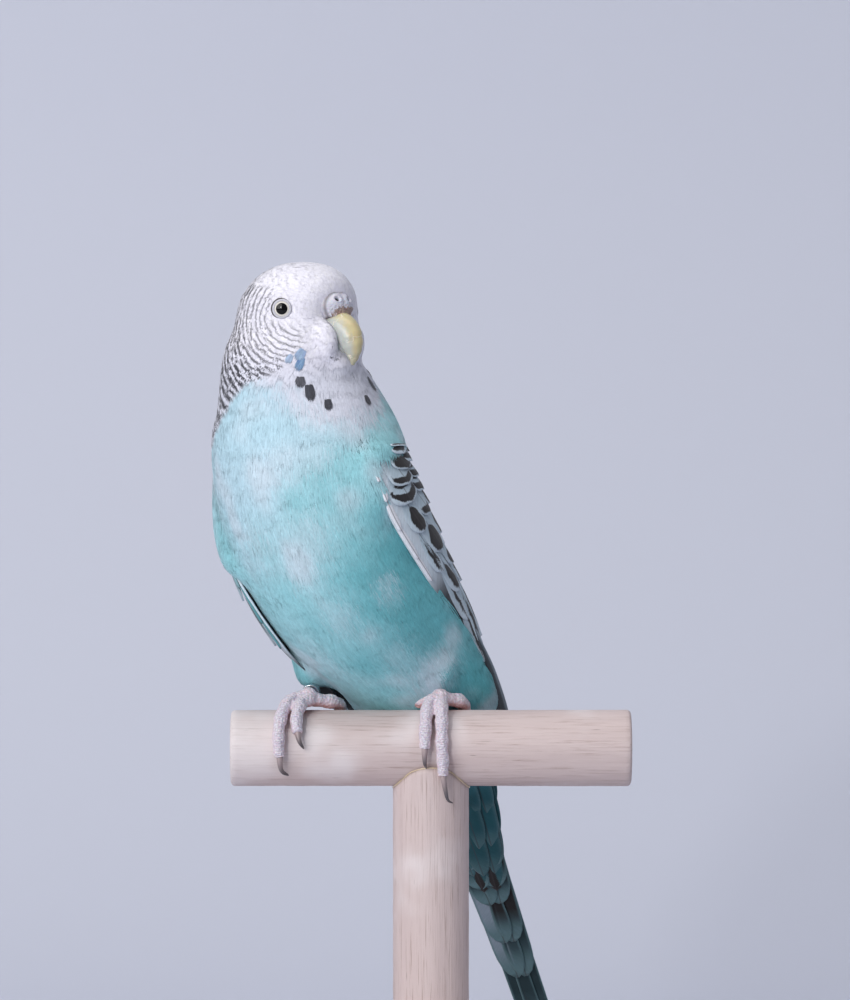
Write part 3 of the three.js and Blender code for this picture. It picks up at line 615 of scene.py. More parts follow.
# the front edge of the barring: height in the head's frame and how far forward it comes there
barEdge = [
    (-34, -16), (-30, -12), (-25, -7.8), (-21, -4.2), (-17, 0), (-15, 5.2), (-13, 8.6), (-11.5, 9.4), (-9.3, 11.2),
    (-7, 12.4), (-4.4, 11.2), (-2.8, 8.2), (-1.4, 4.6), (3, 4.2), (5.2, 4.8), (7.0, -1.2), (8.6, -6), (10.2, -11),
    (13, -16),
]
# the lower edge of the bib: degrees to either side of its middle, and the station there
bib = {
    "turn": 32.0, "soft": 0.3,
    "edge": [(0, 7.85), (22, 7.98), (46, 8.35), (62, 8.6), (77, 8.8), (90, 9.0), (180, 9.4)],
}


def barPhase(p):  # rings round the cheek, close together by the face and wider towards the nape
    h = inHead(p)
    left, forward, up = barring["side"] * h[..., 0], h[..., 1] - barring["forward"], h[..., 2] - barring["up"]
    away = np.sqrt(left ** 2 + forward ** 2 + up ** 2)
    past = np.maximum(away - barring["start"], 0)
    near, far, grows = barring["near"], barring["far"], barring["grows"]
    growth = (far - near) / grows
    return np.log1p(past * growth / near) / growth, away


def barInk(p, t):  # how dark the striping is, 0 on the face, crown and bib
    h = inHead(p)
    edge = np.array(barEdge, float)
    limit = np.interp(h[..., 2] + 0.4 * ripple(p, 3.0, 8), edge[:, 0], edge[:, 1])
    besideCrown = step(2.0, 4.5, np.abs(h[..., 0]) + 6 * (h[..., 1] < 2))
    return step(0.5, -0.7, h[..., 1] - limit) * step(6.9, 7.5, t) * besideCrown


def plumageAt(p, stations):  # colour and (phase, ink, width) of the stripes at places on the coat
    t, angle = stations[..., 0], np.degrees(stations[..., 1])
    patch = ripple(p, 17.0, 3) * 0.62 + ripple(p, 8.0, 4) * 0.38
    streak = ripple(p * (1, 1, 0.16), 2.2, 9)
    # breast: pale and greyish above and to the right side, deeper low down and by the wings; the deepening towards the
    # left side and the deeper teal low on the left flank are painted shade on the side away from the key light
    deep = step(8.0, 4.6, t) * 0.62 + step(30, 95, np.abs(angle)) * 0.22 + 0.34 * step(-35, 62, angle) - 0.08 * patch
    base = mix(colours["sky"], colours["turquoise"], step(0.1, 0.52, deep)[..., None])
    base = mix(base, colours["teal"], step(0.5, 0.95, deep)[..., None])
    # painted shade: a deeper teal low on the bird's left flank, away from the key light
    base = mix(base, colours["deepTealShade"], (step(4.6, 3.6, t) * step(10, 60, angle) * 0.8)[..., None])
    base = mix(base, colours["greyWhite"], (step(0.1, 0.9, patch) * 0.5)[..., None])
    base = mix(base, colours["teal"], (step(0.25, 1.0, -patch) * 0.3)[..., None])
    for at, turn, deepSize, wideSize, strength in palePatches:
        away = ((t - at) / deepSize) ** 2 + ((angle - turn) / wideSize) ** 2
        base = mix(base, colours["greyWhite"], (strength * np.exp(-away))[..., None])
    base = base * (1 + 0.035 * streak)[..., None]
    # back and rump
    behind = step(104, 122, np.abs(angle))
    base = mix(base, colours["rump"], (behind * step(6.4, 5.4, t))[..., None])
    base = mix(base, colours["mantle"], (behind * step(5.4, 6.4, t))[..., None])
    # white bib, face and crown, and white between the stripes
    edge = np.array(bib["edge"], float)
    lower = np.interp(np.abs((angle - bib["turn"] + 180) % 360 - 180), edge[:, 0], edge[:, 1])
    white = step(-bib["soft"], bib["soft"], t - lower - 0.09 * ripple(p, 5.0, 6) + 0.04 * streak)
    phase, away = barPhase(p)
    ink = barInk(p, t)
    white = np.maximum(white, np.clip(ink * 1.2, 0, 1))
    # the white of the lower throat is greyed towards the throat colour: painted shade under the head
    pale = mix(colours["white"], colours["throat"], (step(9.8, 8.6, t) * (1 - behind))[..., None])
    base = mix(base, pale, white[..., None])
    ink = np.maximum(ink * mix(0.56, 0.95, step(8, 21, away)), behind * step(5.6, 6.3, t) * 0.95)
    width = mix(0.27, 0.5, step(8, 22, away))
    return base, np.stack([phase, ink, width], -1)


# station, degrees, size along and across, and strength of paler patches on the breast and belly
palePatches = [
    (7.15, -4, 0.3, 16, 0.55), (7.3, 22, 0.3, 12, 0.4), (6.35, -24, 0.28, 9, 0.5), (6.3, 8, 0.3, 14, 0.5),
    (6.0, -2, 0.24, 10, 0.5), (5.35, 3, 0.26, 10, 0.4), (5.4, 38, 0.16, 6, 0.5), (4.15, 44, 0.2, 20, 0.45),
    (3.95, 32, 0.3, 12, 0.6), (4.6, 20, 0.3, 12, 0.3), (4.9, -30, 0.4, 10, 0.35),
]

# the coat

coat = {
    "bodyLength": 6.2, "bodyWidth": 0.31, "headLength": 2.5, "headWidth": 0.27,
    "faceLength": 1.4, "faceWidth": 0.2, "cover": 14.0, "headCover": 8.8, "barbs": 16,
}


def coatScale(p, t):  # 0 on the body, 1 on the head, 2 by the eye and bill
    h = inHead(p)
    onHead = step(7.9, 9.3, t)
    bill = np.linalg.norm(h - (0, 14.5, -2), axis=-1)
    eyes = np.minimum(*[np.linalg.norm(h - (side * 11.6, 7.2, 1), axis=-1) for side in (1, -1)])
    return onHead + step(9.5, 5.5, np.minimum(bill, eyes * 1.5))


def sizeAt(p, t):
    scale = coatScale(p, t)
    picks = [0, 1, 2]
    length = np.interp(scale, picks, [coat["bodyLength"], coat["headLength"], coat["faceLength"]])
    width = np.interp(scale, picks, [coat["bodyWidth"], coat["headWidth"], coat["faceWidth"]])
    return length, width


def lieAt(p, normals, t):  # the way the plumage lies, from the bill back over the head and down the body
    h = inHead(p)
    turn = np.radians(head["heading"])
    fromBill = unit(h - (0, 15, -3))
    c, s = np.cos(turn), np.sin(turn)
    x = fromBill[..., 0] * c + fromBill[..., 1] * s
    y = fromBill[..., 0] * s - fromBill[..., 1] * c
    radial = np.stack([x, y, fromBill[..., 2]], -1)
    down = -sectionAt(np.clip(t, 1, brow))[1]
    level = np.zeros_like(p)
    level[..., 2] = -1
    onHead = step(8.0, 9.6, t)[..., None]
    back = step(4, 22, np.linalg.norm(h - (0, 15, -3), axis=-1))[..., None]
    lie = mix(down, radial + level * (0.15 + 0.75 * back), onHead)
    lie = lie - normals * (lie * normals).sum(-1, keepdims=True)
    return unit(lie)


def hidden(p, stations):  # under a wing, in the eye, bill or cere, or by the bar
    t, angle = stations[:, 0], np.degrees(stations[:, 1])
    h = inHead(p)
    gone = np.zeros(len(p), bool)
    for side in (1, -1):
        low, high = wingSpan(t, side)
        capeStations, capeTurns = zip(*capes[side])
        caped = np.maximum(low, np.interp(t, capeStations, capeTurns))
        gone |= (t > 2) & (t < 8) & (side * angle > caped) & (side * angle < high - 3)
        axis = np.radians(90 - eye["turn"])
        outWay = np.array([side * np.cos(axis), np.sin(axis), 0])
        offset = h - (side * eye["left"], eye["forward"], eye["up"])
        along = offset @ outWay
        gone |= (along > 0) & (np.linalg.norm(offset - along[:, None] * outWay, axis=1) < eye["ring"])
    gone |= (((h - (0, 13.4, 1.5)) / (4.3, 6.5, 3.9)) ** 2).sum(1) < 1
    gone |= (np.abs(h[:, 0]) < 2.6) & (h[:, 1] > 8) & (h[:, 2] < 1) & (h[:, 2] > -7)
    bare = np.hypot(p[:, 1], p[:, 2]) < bar["radius"] + 1.2
    return gone | bare | (t < 2.0)


# where the coat's roots end on the left and right wing: station, and degrees from the front
capes = {
    1: [(2.6, 103), (3.0, 95), (3.5, 88), (3.8, 84), (4.1, 79), (4.4, 73), (4.7, 67), (5.0, 62), (6.3, 56),
        (6.75, 61), (6.98, 65), (7.14, 74), (7.32, 87), (7.5, 96), (7.62, 106), (7.8, 130), (8, 170)],
    -1: [(3.0, 86), (3.5, 84), (4.0, 78), (4.5, 67), (5.0, 60), (6.05, 60), (6.25, 68), (6.5, 86), (6.8, 100),
         (7.1, 112), (7.4, 124), (8, 170)],
}


def scatter(weightOf, rng):  # places spread over the form, denser where the weight is larger
    faces = np.array([f[:3] for f in formFaces] + [(f[0], f[2], f[3]) for f in formFaces if len(f) == 4])
    a, b, c = (formPoints[faces[:, k]] for k in range(3))
    weight = np.linalg.norm(np.cross(b - a, c - a), axis=1) / 2 * weightOf((a + b + c) / 3)
    total = np.cumsum(weight)
    count = int(total[-1])
    picks = np.searchsorted(total, (np.arange(count) + rng.random(count)) / count * total[-1])
    picks = np.minimum(picks, len(faces) - 1)
    u, v = rng.random(count), rng.random(count)
    over = u + v > 1
    u[over], v[over] = 1 - u[over], 1 - v[over]
    return a[picks] + (b - a)[picks] * u[:, None] + (c - a)[picks] * v[:, None]


def barbMesh(name, stops, normals, widths, values, patches, finish, ridge=0.09, shape=(0.8, 1.0)):
    # closed barbs, each three-sided, through a root, a middle and a tip. stops is count x 3 x 3
    count = len(stops)
    along = unit(stops[:, 2] - stops[:, 0])
    points = np.empty((count, 7, 3))
    for ring, (station, part) in enumerate(((0, shape[0]), (1, shape[1]))):
        side = unit(np.cross(normals[:, station], along)) * (widths * part / 2)[:, None]
        points[:, 3 * ring] = stops[:, station] - side
        points[:, 3 * ring + 1] = stops[:, station] + side
        points[:, 3 * ring + 2] = stops[:, station] + normals[:, station] * (widths * part * ridge)[:, None]
    points[:, 6] = stops[:, 2]
    one = np.array([[0, 2, 1], [3, 4, 6], [4, 5, 6], [5, 3, 6]])
    sides = np.array([[0, 1, 4, 3], [1, 2, 5, 4], [2, 0, 3, 5]])
    start = (np.arange(count) * 7)[:, None, None]
    faces = [(start + one).reshape(-1, 3), (start + sides).reshape(-1, 4)]
    perPoint = {key: data[:, [0, 0, 0, 1, 1, 1, 2]].reshape(count * 7, -1) for key, data in values.items()}
    made = meshPiece(name, points.reshape(-1, 3), faces, finish, perPoint)
    corners = np.array([[0.1, 0], [0.9, 0], [0.5, 0.05], [0, 0.5], [1, 0.5], [0.5, 0.55], [0.5, 1]])
    # soft normals: those of the coat's form, turned a little to each side of a barb
    lean = np.array([-0.14, 0.14, 0.0, -0.14, 0.14, 0.0, 0.0])
    side = unit(np.cross(normals[:, 1], along))
    soft = unit(normals[:, [0, 0, 0, 1, 1, 1, 2]] + side[:, None] * lean[None, :, None])
    made.data.normals_split_custom_set_from_vertices(soft.reshape(-1, 3).astype(np.float32).tolist())
    bakeMap(made, (patches[:, None] + (corners - 0.5) * 0.003).reshape(-1, 2))
    return made


def bakeMap(made, perPoint):
    loops = np.empty(len(made.data.loops), np.int32)
    made.data.loops.foreach_get("vertex_index", loops)
    layer = made.data.uv_layers.new(name="OFBake")
    layer.data.foreach_set("uv", np.clip(perPoint, 0.001, 0.999)[loops].astype(np.float32).ravel())


def unwrapOf(stations):  # u round the body, v from tail to crown
    u = 0.02 + 0.96 * (stations[:, 1] + np.pi) / (2 * np.pi)
    return np.stack([u, 0.02 + 0.96 * stations[:, 0] / top], -1)


def fanBarbs(roots, normals, lie, size, spread, barbs, lifts, rng, round=0.28, back=0.3):
    # every feather is a fan of barbs from its root. lifts is (root, middle, tip) by feather
    cross = np.cross(normals, lie)
    count = len(roots)
    fan = np.linspace(-1, 1, barbs)[None] + rng.uniform(-0.12, 0.12, (count, barbs))
    reachOut = spread * np.sin(fan * 1.2) * rng.uniform(0.75, 1.15, (count, barbs))
    reachOn = size * (1 - round + round * np.cos(fan * 1.1)) * rng.uniform(0.74, 1.1, (count, barbs))
    startOut, startOn = spread * fan * 0.66, size * rng.uniform(-back, 0.16, (count, barbs))
    places = [(startOut, startOn), (mix(startOut, reachOut, 0.6), mix(startOn, reachOn, 0.5)), (reachOut, reachOn)]
    stops = np.empty((count, barbs, 3, 3))
    ways = np.empty_like(stops)
    for k, (out, on) in enumerate(places):
        flat = (roots[:, None] + cross[:, None] * out[..., None] + lie[:, None] * on[..., None]).reshape(-1, 3)
        near, way = onForm(flat)
        stops[:, :, k] = (near + way * lifts[k].reshape(-1, 1)).reshape(count, barbs, 3)
        ways[:, :, k] = way.reshape(count, barbs, 3)
    return stops.reshape(-1, 3, 3), ways.reshape(-1, 3, 3)


def growFeathers(roots, rng):
    roots, normals = onForm(roots)
    stations = stationsOf(roots)
    shown = ~hidden(roots, stations)
    roots, normals, stations = roots[shown], normals[shown], stations[shown]
    length, width = sizeAt(roots, stations[:, 0])
    lie = lieAt(roots, normals, stations[:, 0])
    count, barbs = len(roots), coat["barbs"]
    size = (length * rng.uniform(0.8, 1.15, count))[:, None]
    scale = np.clip(coatScale(roots, stations[:, 0]), 0, 1)[:, None]
    loose = mix(1.0, 0.7, scale)
    lifts = [
        mix(-0.3, -0.26, scale) + np.zeros((count, barbs)),
        -0.05 + rng.uniform(-0.03, 0.03, (count, barbs)) * loose,
        rng.uniform(-0.04, 0.05, (count, barbs)) * loose,
    ]
    stops, ways = fanBarbs(roots, normals, lie, size, size * 0.42, barbs, lifts, rng)
    thick = (width[:, None] * rng.uniform(0.75, 1.25, (count, barbs))).ravel()
    return stops, ways, thick, np.repeat(stations, barbs, 0), barbs


def coatValues(stops, rootStations, barbs, rng):
    count = len(stops)
    # a feather keeps one colour but for its tip, and stripes keep to their places on the coat
    stations = np.repeat(rootStations[:, None], 3, 1)
    tint, bars = plumageAt(stops, stations)
    pale = step(7.9, 8.6, rootStations[:, 0])[:, None, None]  # the face is evener than the breast
    perFeather = np.repeat(rng.normal(0, 0.022, count // barbs), barbs)[:, None, None] * mix(1, 0.6, pale)
    perBarb = rng.normal(0, 0.04, (count, 1, 1)) * mix(1, 0.5, pale)
    fade = np.array([-0.03, 0.0, 0.03])[None, :, None] * mix(1, 0.5, pale)
    tint = np.clip(tint * (1 + perFeather + perBarb + fade), 0.01, 0.95)
    far = step(8, 20, np.linalg.norm(inHead(stops[:, 0]) - (0, 9, 0), axis=1))
    shift = np.repeat(rng.normal(0, 1, count // barbs), barbs) * mix(0.05, 0.2, far)
    bars[:, :, 0] += shift[:, None]
    return {"tint": tint, "bars": bars}


rng = np.random.default_rng(seed)


def featherWeight(p):
    stations = stationsOf(p)
    length, width = sizeAt(p, stations[:, 0])
    cover = mix(coat["cover"], coat["headCover"], step(7.8, 9.0, stations[:, 0]))
    return cover / (length * width) / coat["barbs"] * (~hidden(p, stations))


featherRoots = scatter(featherWeight, rng)
stops, ways, thick, rootStations, barbs = growFeathers(featherRoots, rng)
values = coatValues(stops, rootStations, barbs, rng)
patches = unwrapOf(rootStations)
print("coat barbs:", len(stops))

# the coat's pieces from the crown down, each with the station where it ends
regions = [("crown", 10.6), ("face", 9.2), ("throat", 8), ("shoulders", 6.9), ("breast", 5.6), ("belly", 4.2), ("vent", 0)]
above = np.inf
for name, below in regions:
    chosen = (rootStations[:, 0] < above) & (rootStations[:, 0] >= below)
    above, name = below, "coat_" + name
    part = barbMesh(name, stops[chosen], ways[chosen], thick[chosen],
                    {key: data[chosen] for key, data in values.items()}, patches[chosen], plumage)
    keep(part, "plumage")
    print(name, int(chosen.sum()) * 10, "triangles")

# the skin lies under the coat and carries the same markings
skinPoints = pointsOf(form)
skinStations = stationsOf(skinPoints)
tint, bars = plumageAt(skinPoints, skinStations)
depth = mix(skinSettings["depth"], skinSettings["faceDepth"], np.clip(coatScale(skinPoints, skinStations[:, 0]), 0, 1))
setPoints(form, skinPoints - normalsOf(form) * depth[:, None])
writeValues(form.data, {"tint": tint * 0.97, "bars": bars})
form.data.materials.clear()
form.data.materials.append(plumage)
shadeSmooth(form)
keep(form, "plumage", "head", "neck", "torso", "leg_left", "leg_right")
print("coat done")

# dark throat spots and blue cheek patches are feathers of their own over the bib:
# station, degrees from the bib's middle, length and half width, number of barbs, and colour
marks = {
    "throatSpot": [(8.58, 45, 2.6, 1.2, 80, 0.95), (8.3, 33, 3.9, 1.3, 120, 1.0), (8.02, 16.5, 2.7, 1.0, 80, 1.0)],
    "cheekPatch": [(9.45, 62, 3.0, 1.2, 90, 0.8), (9.15, 57, 3.4, 1.0, 90, 1.0), (9.3, 68, 2.4, 0.8, 50, 0.7)],
}
markColours = {"throatSpot": rgb(44, 46, 56), "cheekPatch": rgb(84, 122, 172)}


def growMarks(kind):
    draw = np.random.default_rng(41 + len(kind))
    stops, ways, tints, bars, stations, widths = [], [], [], [], [], []
    for at, turn, length, half, barbs, strength in marks[kind]:
        for side in (1, -1):
            station = np.array([[at + (0.03 if side > 0 else 0.0), np.radians(bib["turn"] + side * turn)]])
            root, normal = onForm(bodyPoint(station[:, 0], station[:, 1]))
            lie = lieAt(root, normal, station[:, 0])
            root, normal = onForm(root - lie * length * 0.45)
            lifts = [np.full((1, barbs), 0.02), *(lift + draw.uniform(0, 0.08, (1, barbs)) for lift in (0.1, 0.08))]
            s, w = fanBarbs(root, normal, lie, length, half, barbs, lifts, draw, 0.45, 0.05)
            colour = mix(colours["white"], markColours[kind], strength * 0.96)
            tint = np.repeat((colour * draw.uniform(0.75, 1.25, (barbs, 1)))[:, None], 3, 1)
            if kind == "cheekPatch":
                tint = mix(tint, colours["sky"], draw.uniform(0, 0.45, (barbs, 1, 1)))
            stops.append(s)
            ways.append(w)
            tints.append(tint)
            bars.append(np.zeros((barbs, 3, 3)))
            stations.append(np.repeat(station, barbs, 0))
            widths.append(draw.uniform(0.17, 0.26, barbs))
    join = np.concatenate
    part = barbMesh("mark_" + kind, join(stops), join(ways), join(widths),
                    {"tint": join(tints), "bars": join(bars)}, unwrapOf(join(stations)), plumage)
    keep(part, "face_plumage")


for kind in marks:
    growMarks(kind)
print("marks done")

# feathers with vanes: wings and tail


def featherMaterial():
    # tint is the web's colour, dark the depth inside a black marking in millimetres, and
    # weave the place along the shaft, across it and a number for each feather
    made, tree, shader, place = startMaterial("wingFeather")
    tint = attribute(tree, "tint").outputs["Color"]
    dark = attribute(tree, "dark").outputs["Fac"]
    parts = addNode(tree, "ShaderNodeSeparateXYZ", {0: attribute(tree, "weave").outputs["Vector"]}).outputs
    slant = calc(tree, "SUBTRACT", parts[0], calc(tree, "MULTIPLY", calc(tree, "ABSOLUTE", parts[1]), 1.1))
    across = calc(tree, "MULTIPLY", parts[1], 0.12)
    lines = addNode(tree, "ShaderNodeCombineXYZ", {0: slant, 1: across, 2: parts[2]}).outputs[0]
    barbs = noise(tree, lines, 4.2, 2.0)
    edge = calc(tree, "ADD", dark, calc(tree, "MULTIPLY_ADD", barbs, 0.7, -0.35))
    ink = between(tree, edge, -0.2, 0.08)
    shade = calc(tree, "MULTIPLY_ADD", barbs, 0.5, 0.75)
    colour = blend(tree, ink, shaded(tree, tint, shade), rgba(36, 34, 36))
    shaft = between(tree, calc(tree, "ABSOLUTE", parts[1]), 0.22, 0.08)
    colour = blend(tree, calc(tree, "MULTIPLY", shaft, 0.55), colour, rgba(60, 58, 62))
    closeMaterial(tree, shader, colour, 0.6, barbs, 0.00012, 0.5, Sheen_Weight=0.15, Specular_IOR_Level=0.3)
    return made


vaneFinish = featherMaterial()
vaneGrid = {"rows": 20, "cols": 11, "thickness": 0.16}


def vaneArrays(place, half, length, tintOf, darkOf, mark, blunt=0.78, rootWidth=0.5, curl=0.35, tilt=0.05):
    # one closed leaf-shaped vane. place(s, across, rise) is vectorised
    rows, cols = vaneGrid["rows"], vaneGrid["cols"]
    s = 1 - (1 - np.linspace(0, 1, rows)) ** 1.25
    x = np.linspace(-1, 1, cols)
    grow = mix(rootWidth, 1.0, step(0, 0.45, s))
    rounded = np.sqrt(np.clip(1 - (np.clip(s - blunt, 0, 1) / (1.001 - blunt)) ** 2, 0.0025, 1))
    width = half * grow * rounded
    alongGrid, acrossGrid = np.meshgrid(s, x, indexing="ij")
    across = acrossGrid * width[:, None]
    rise = tilt * across - curl * acrossGrid ** 2
    thickness = vaneGrid["thickness"] * (1 - 0.7 * np.abs(acrossGrid) ** 3)
    upper = place(alongGrid, across, rise + thickness / 2)
    under = place(alongGrid, across, rise - thickness / 2)
    faces = slabFaces(rows, cols)
    tint, dark = tintOf(alongGrid, acrossGrid), darkOf(alongGrid * length, across, alongGrid, acrossGrid)
    weave = np.stack([alongGrid * length, across, np.full_like(alongGrid, mark)], -1)
    return slab(upper, under, faces, tint, dark, weave)


def slab(upper, under, faces, tint, dark, weave):  # a shell of two grids with the same values on both
    twice = lambda grid: np.concatenate([grid.reshape(dark.size, -1)] * 2)
    points = np.concatenate([upper.reshape(-1, 3), under.reshape(-1, 3)])
    return points, faces, {"tint": twice(tint), "dark": twice(dark)[:, 0], "weave": twice(weave)}


def unmarked(along, across, s, x):  # the depth inside a marking where there is none
    return np.full_like(s, -1.0)


def vanePiece(name, vanes, finish):
    points, faces, start = [], [], 0
    for shape, quads, _ in vanes:
        points.append(shape)
        faces.append(quads + start)
        start += len(shape)
    values = {key: np.concatenate([v[2][key] for v in vanes]) for key in vanes[0][2]}
    return outwardKeeping(meshPiece(name, np.concatenate(points), [np.concatenate(faces)], finish, values))


def outwardKeeping(made):  # turns closed shells outwards without merging their points
    work = bmesh.new()
    work.from_mesh(made.data)
    bmesh.ops.recalc_face_normals(work, faces=work.faces)
    work.to_mesh(made.data)
    work.free()
    return made


# tiers of feathers over the wing's back: count, then the first and last feather's start and end
# along the wing, place across it at start and end, half width, rise of the tip, and marking
wingTiers = [
    ("primary", 11, (0.56, 0.5), (1.0, 0.74), (0.02, 0.5), (0.36, 0.66), 2.5, 0.0),
    ("secondary", 8, (0.46, 0.34), (0.78, 0.52), (0.5, 0.92), (0.6, 0.93), 2.7, 0.15),
    ("greater", 6, (0.4, 0.3), (0.54, 0.42), (0.48, 0.92), (0.5, 0.94), 2.7, 0.45),
    ("median", 5, (0.28, 0.2), (0.41, 0.31), (0.48, 0.92), (0.49, 0.92), 2.7, 0.6),
    ("lesser", 5, (0.2, 0.13), (0.3, 0.22), (0.48, 0.9), (0.48, 0.9), 2.6, 0.7),
    ("crescent", 4, (0.12, 0.07), (0.21, 0.16), (0.5, 0.86), (0.5, 0.86), 2.6, 0.75),
    ("crescent", 4, (0.05, 0.02), (0.14, 0.1), (0.46, 0.84), (0.45, 0.84), 2.3, 0.75),
]
# feathers of the wing's front: tip along and across the wing, length, half width, rise of the
# tip, and its dark marks: (bend, middle from the tip, offset, half length, half width)
wingFront = [
    (0.66, 0.16, 17, 1.5, 0.1, [(0, 9, 0.2, 6, 0.45)]),
    (0.63, 0.24, 16, 1.7, 0.3, [(0, 8.5, -0.5, 5, 0.4), (0, 8, 0.6, 4, 0.34)]),
    (0.62, 0.34, 15, 2.0, 0.6, [(0, 9, -0.8, 4.6, 0.42), (0, 8.2, 0.3, 5, 0.46), (0, 9, 1.2, 4, 0.34)]),
    (0.56, 0.14, 15, 1.4, 0.2, [(0, 7.5, 0.0, 5, 0.4)]),
    (0.5, 0.19, 14, 2.1, 0.35, [(0, 5.2, 0.1, 4.2, 1.15)]),
    (0.505, 0.36, 12, 2.0, 0.45, [(0, 4.4, 0.3, 3.4, 0.5), (0, 4, -0.6, 3.0, 0.4)]),
    (0.45, 0.32, 12, 2.2, 0.5, [(0, 2.7, 0.1, 2.3, 1.5)]),
    (0.425, 0.13, 12, 1.8, 0.4, [(0, 5, -0.5, 4, 0.42), (0, 5.6, 0.6, 3.0, 0.36)]),
    (0.39, 0.235, 12, 3.3, 0.55, [(0, 3.7, 0.2, 3.4, 2.6)]),
    (0.375, 0.4, 11, 2.3, 0.6, [(0, 3.4, 0.2, 3.0, 1.4)]),
    (0.325, 0.16, 10, 2.6, 0.6, [(0, 3.6, 0.2, 3.2, 1.85)]),
    (0.31, 0.31, 9, 2.4, 0.7, [(0.16, 1.3, 0, 0.85, 2.2)]),
    (0.3, 0.43, 9, 2.4, 0.7, [(0, 2.8, 0, 2.4, 1.1)]),
    (0.25, 0.175, 9, 4.1, 0.75, [(0.12, 1.4, 0.2, 0.95, 4.2), (0.1, 4.4, 0.4, 0.5, 2.6)]),
    (0.25, 0.39, 9, 2.8, 0.8, [(0.15, 1.4, 0, 0.95, 2.7), (0.1, 4.2, 0, 0.6, 1.9)]),
    (0.205, 0.22, 8, 3.6, 0.85, [(0.1, 1.3, 0, 0.75, 3.3)]),
    (0.205, 0.42, 8, 2.6, 0.85, [(0.14, 1.3, 0, 0.85, 2.6), (0.14, 3.6, 0, 0.6, 2.0)]),
    (0.165, 0.3, 8, 3.4, 0.9, [(0.09, 1.5, 0.2, 1.25, 3.3)]),
    (0.15, 0.43, 8, 2.6, 0.9, [(0.12, 1.2, 0, 0.65, 2.5), (0.12, 3.0, 0, 0.5, 2.3)]),
    (0.12, 0.34, 7, 2.8, 0.95, [(0.08, 1.2, 0, 0.65, 2.7), (0.08, 2.9, 0, 0.5, 2.4)]),
    (0.09, 0.42, 7, 2.4, 0.95, [(0.05, 1.2, 0, 0.6, 2.3), (0.05, 2.8, 0, 0.5, 2.0)]),
    (0.08, 0.3, 6, 2.4, 0.95, [(0.05, 1.2, 0, 0.5, 2.0), (0.05, 2.8, 0, 0.4, 1.8)]),
]
# the white feathers along the wing's leading edge: tip along it, length and half width
wingEdge = [(0.42, 13, 0.9), (0.36, 12, 1.15), (0.29, 11, 1.3), (0.22, 9, 1.4), (0.17, 6, 1.4)]
# feathers of the wings' tips beside the flank: half width, and places along each from its root
tipFeathers = {
    -1: [
        (3.4, [(-29, 14, 17), (-19, 19, 9)]),
        (3.4, [(-27, 15, 20), (-15, 21, 8)]),
        (3.4, [(-25, 16.5, 22), (-11, 22, 6.5)]),
    ],
    1: [(2.0, [(7.4, 0.5, 33), (12.9, 6.8, 21), (15, 9.6, 14.2), (16.5, 12.4, 9.4), (17.9, 15.5, 3.8), (18.9, 19, -2)])],
}
tipFacing = np.array([0.1, -1, -0.25])  # the way those feathers face
wingLength = 86.0  # millimetres along the wing from its bend to its tip
wingCore = (40, 24)  # rows and columns of the core under a wing's feathers
wingTints = {
    "primary": rgb(50, 56, 62), "primaryEdge": rgb(150, 168, 176), "secondary": rgb(168, 176, 186),
    "edge": rgb(236, 238, 246),
    "greater": rgb(196, 203, 210), "median": rgb(196, 203, 210), "lesser": rgb(196, 203, 210),
    "crescent": rgb(184, 192, 200), "front": rgb(176, 194, 206), "fringe": rgb(208, 220, 230),
    # shadeTeal is painted shade: the body's teal darkened for the gap between the right wing and the body
    "shadeTeal": rgb(92, 150, 158),
}


def ovalDepth(along, across, middle, deep, wide):  # millimetres inside an oval
    away = np.sqrt(((along - middle) / deep) ** 2 + (across / wide) ** 2)
    return (1 - away) * np.minimum(deep, wide)


def wingMark(kind, half, length):
    def dark(along, across, s, x):
        if kind == "primary":
            return (0.8 - np.abs(x + 0.1)) * half * 0.9 - 0.2
        if kind == "secondary":
            return np.minimum(0.62 - np.abs(x), (0.86 - s) * 3) * half * 0.9
        if kind == "greater":
            return ovalDepth(along, across - 0.1 * half, length * 0.52, length * 0.33, half * (0.3 + 0.34 * s))
        if kind == "median":
            return ovalDepth(along, across, length * 0.6, length * 0.27, half * (0.2 + 0.62 * s))
        if kind == "lesser":
            return ovalDepth(along, across, length * 0.66, length * 0.2, half * (0.2 + 0.7 * s))
        if kind == "crescent":
            bend = along + 0.22 * across ** 2
            first = 0.42 - np.abs(bend - length * 0.88)
            return np.maximum(first, 0.4 - np.abs(bend - length * 0.6))
        return unmarked(along, across, s, x)
    return dark


def fringed(tone, fringe, start):  # a web's colour with a fringe of another from start outwards
    return lambda s, x: mix(tone, fringe, step(start, 0.9, np.maximum(s, np.abs(x)))[..., None])


def markedBy(marks, length):  # depth inside the nearest of a feather's own marks
    def dark(along, across, s, x):
        best = np.full_like(s, -1.0)
        for bend, middle, offset, halfLong, halfWide in marks:
            a = length - along - middle + 0.12 * np.sin(2.3 * across + 5 * middle)
            b = across - offset + 0.14 * np.sin(1.7 * along + 7 * middle)
            if bend:
                depth = np.minimum(halfLong - np.abs(a - bend * b ** 2), (halfWide - np.abs(b)) * 0.6)
            else:
                taper = 1 - 0.3 * np.clip(a / halfLong, -1, 1)
                depth = (1 - np.hypot(a / halfLong, b / (halfWide * taper))) * np.minimum(halfLong, halfWide)
            best = np.maximum(best, depth)
        return best
    return dark


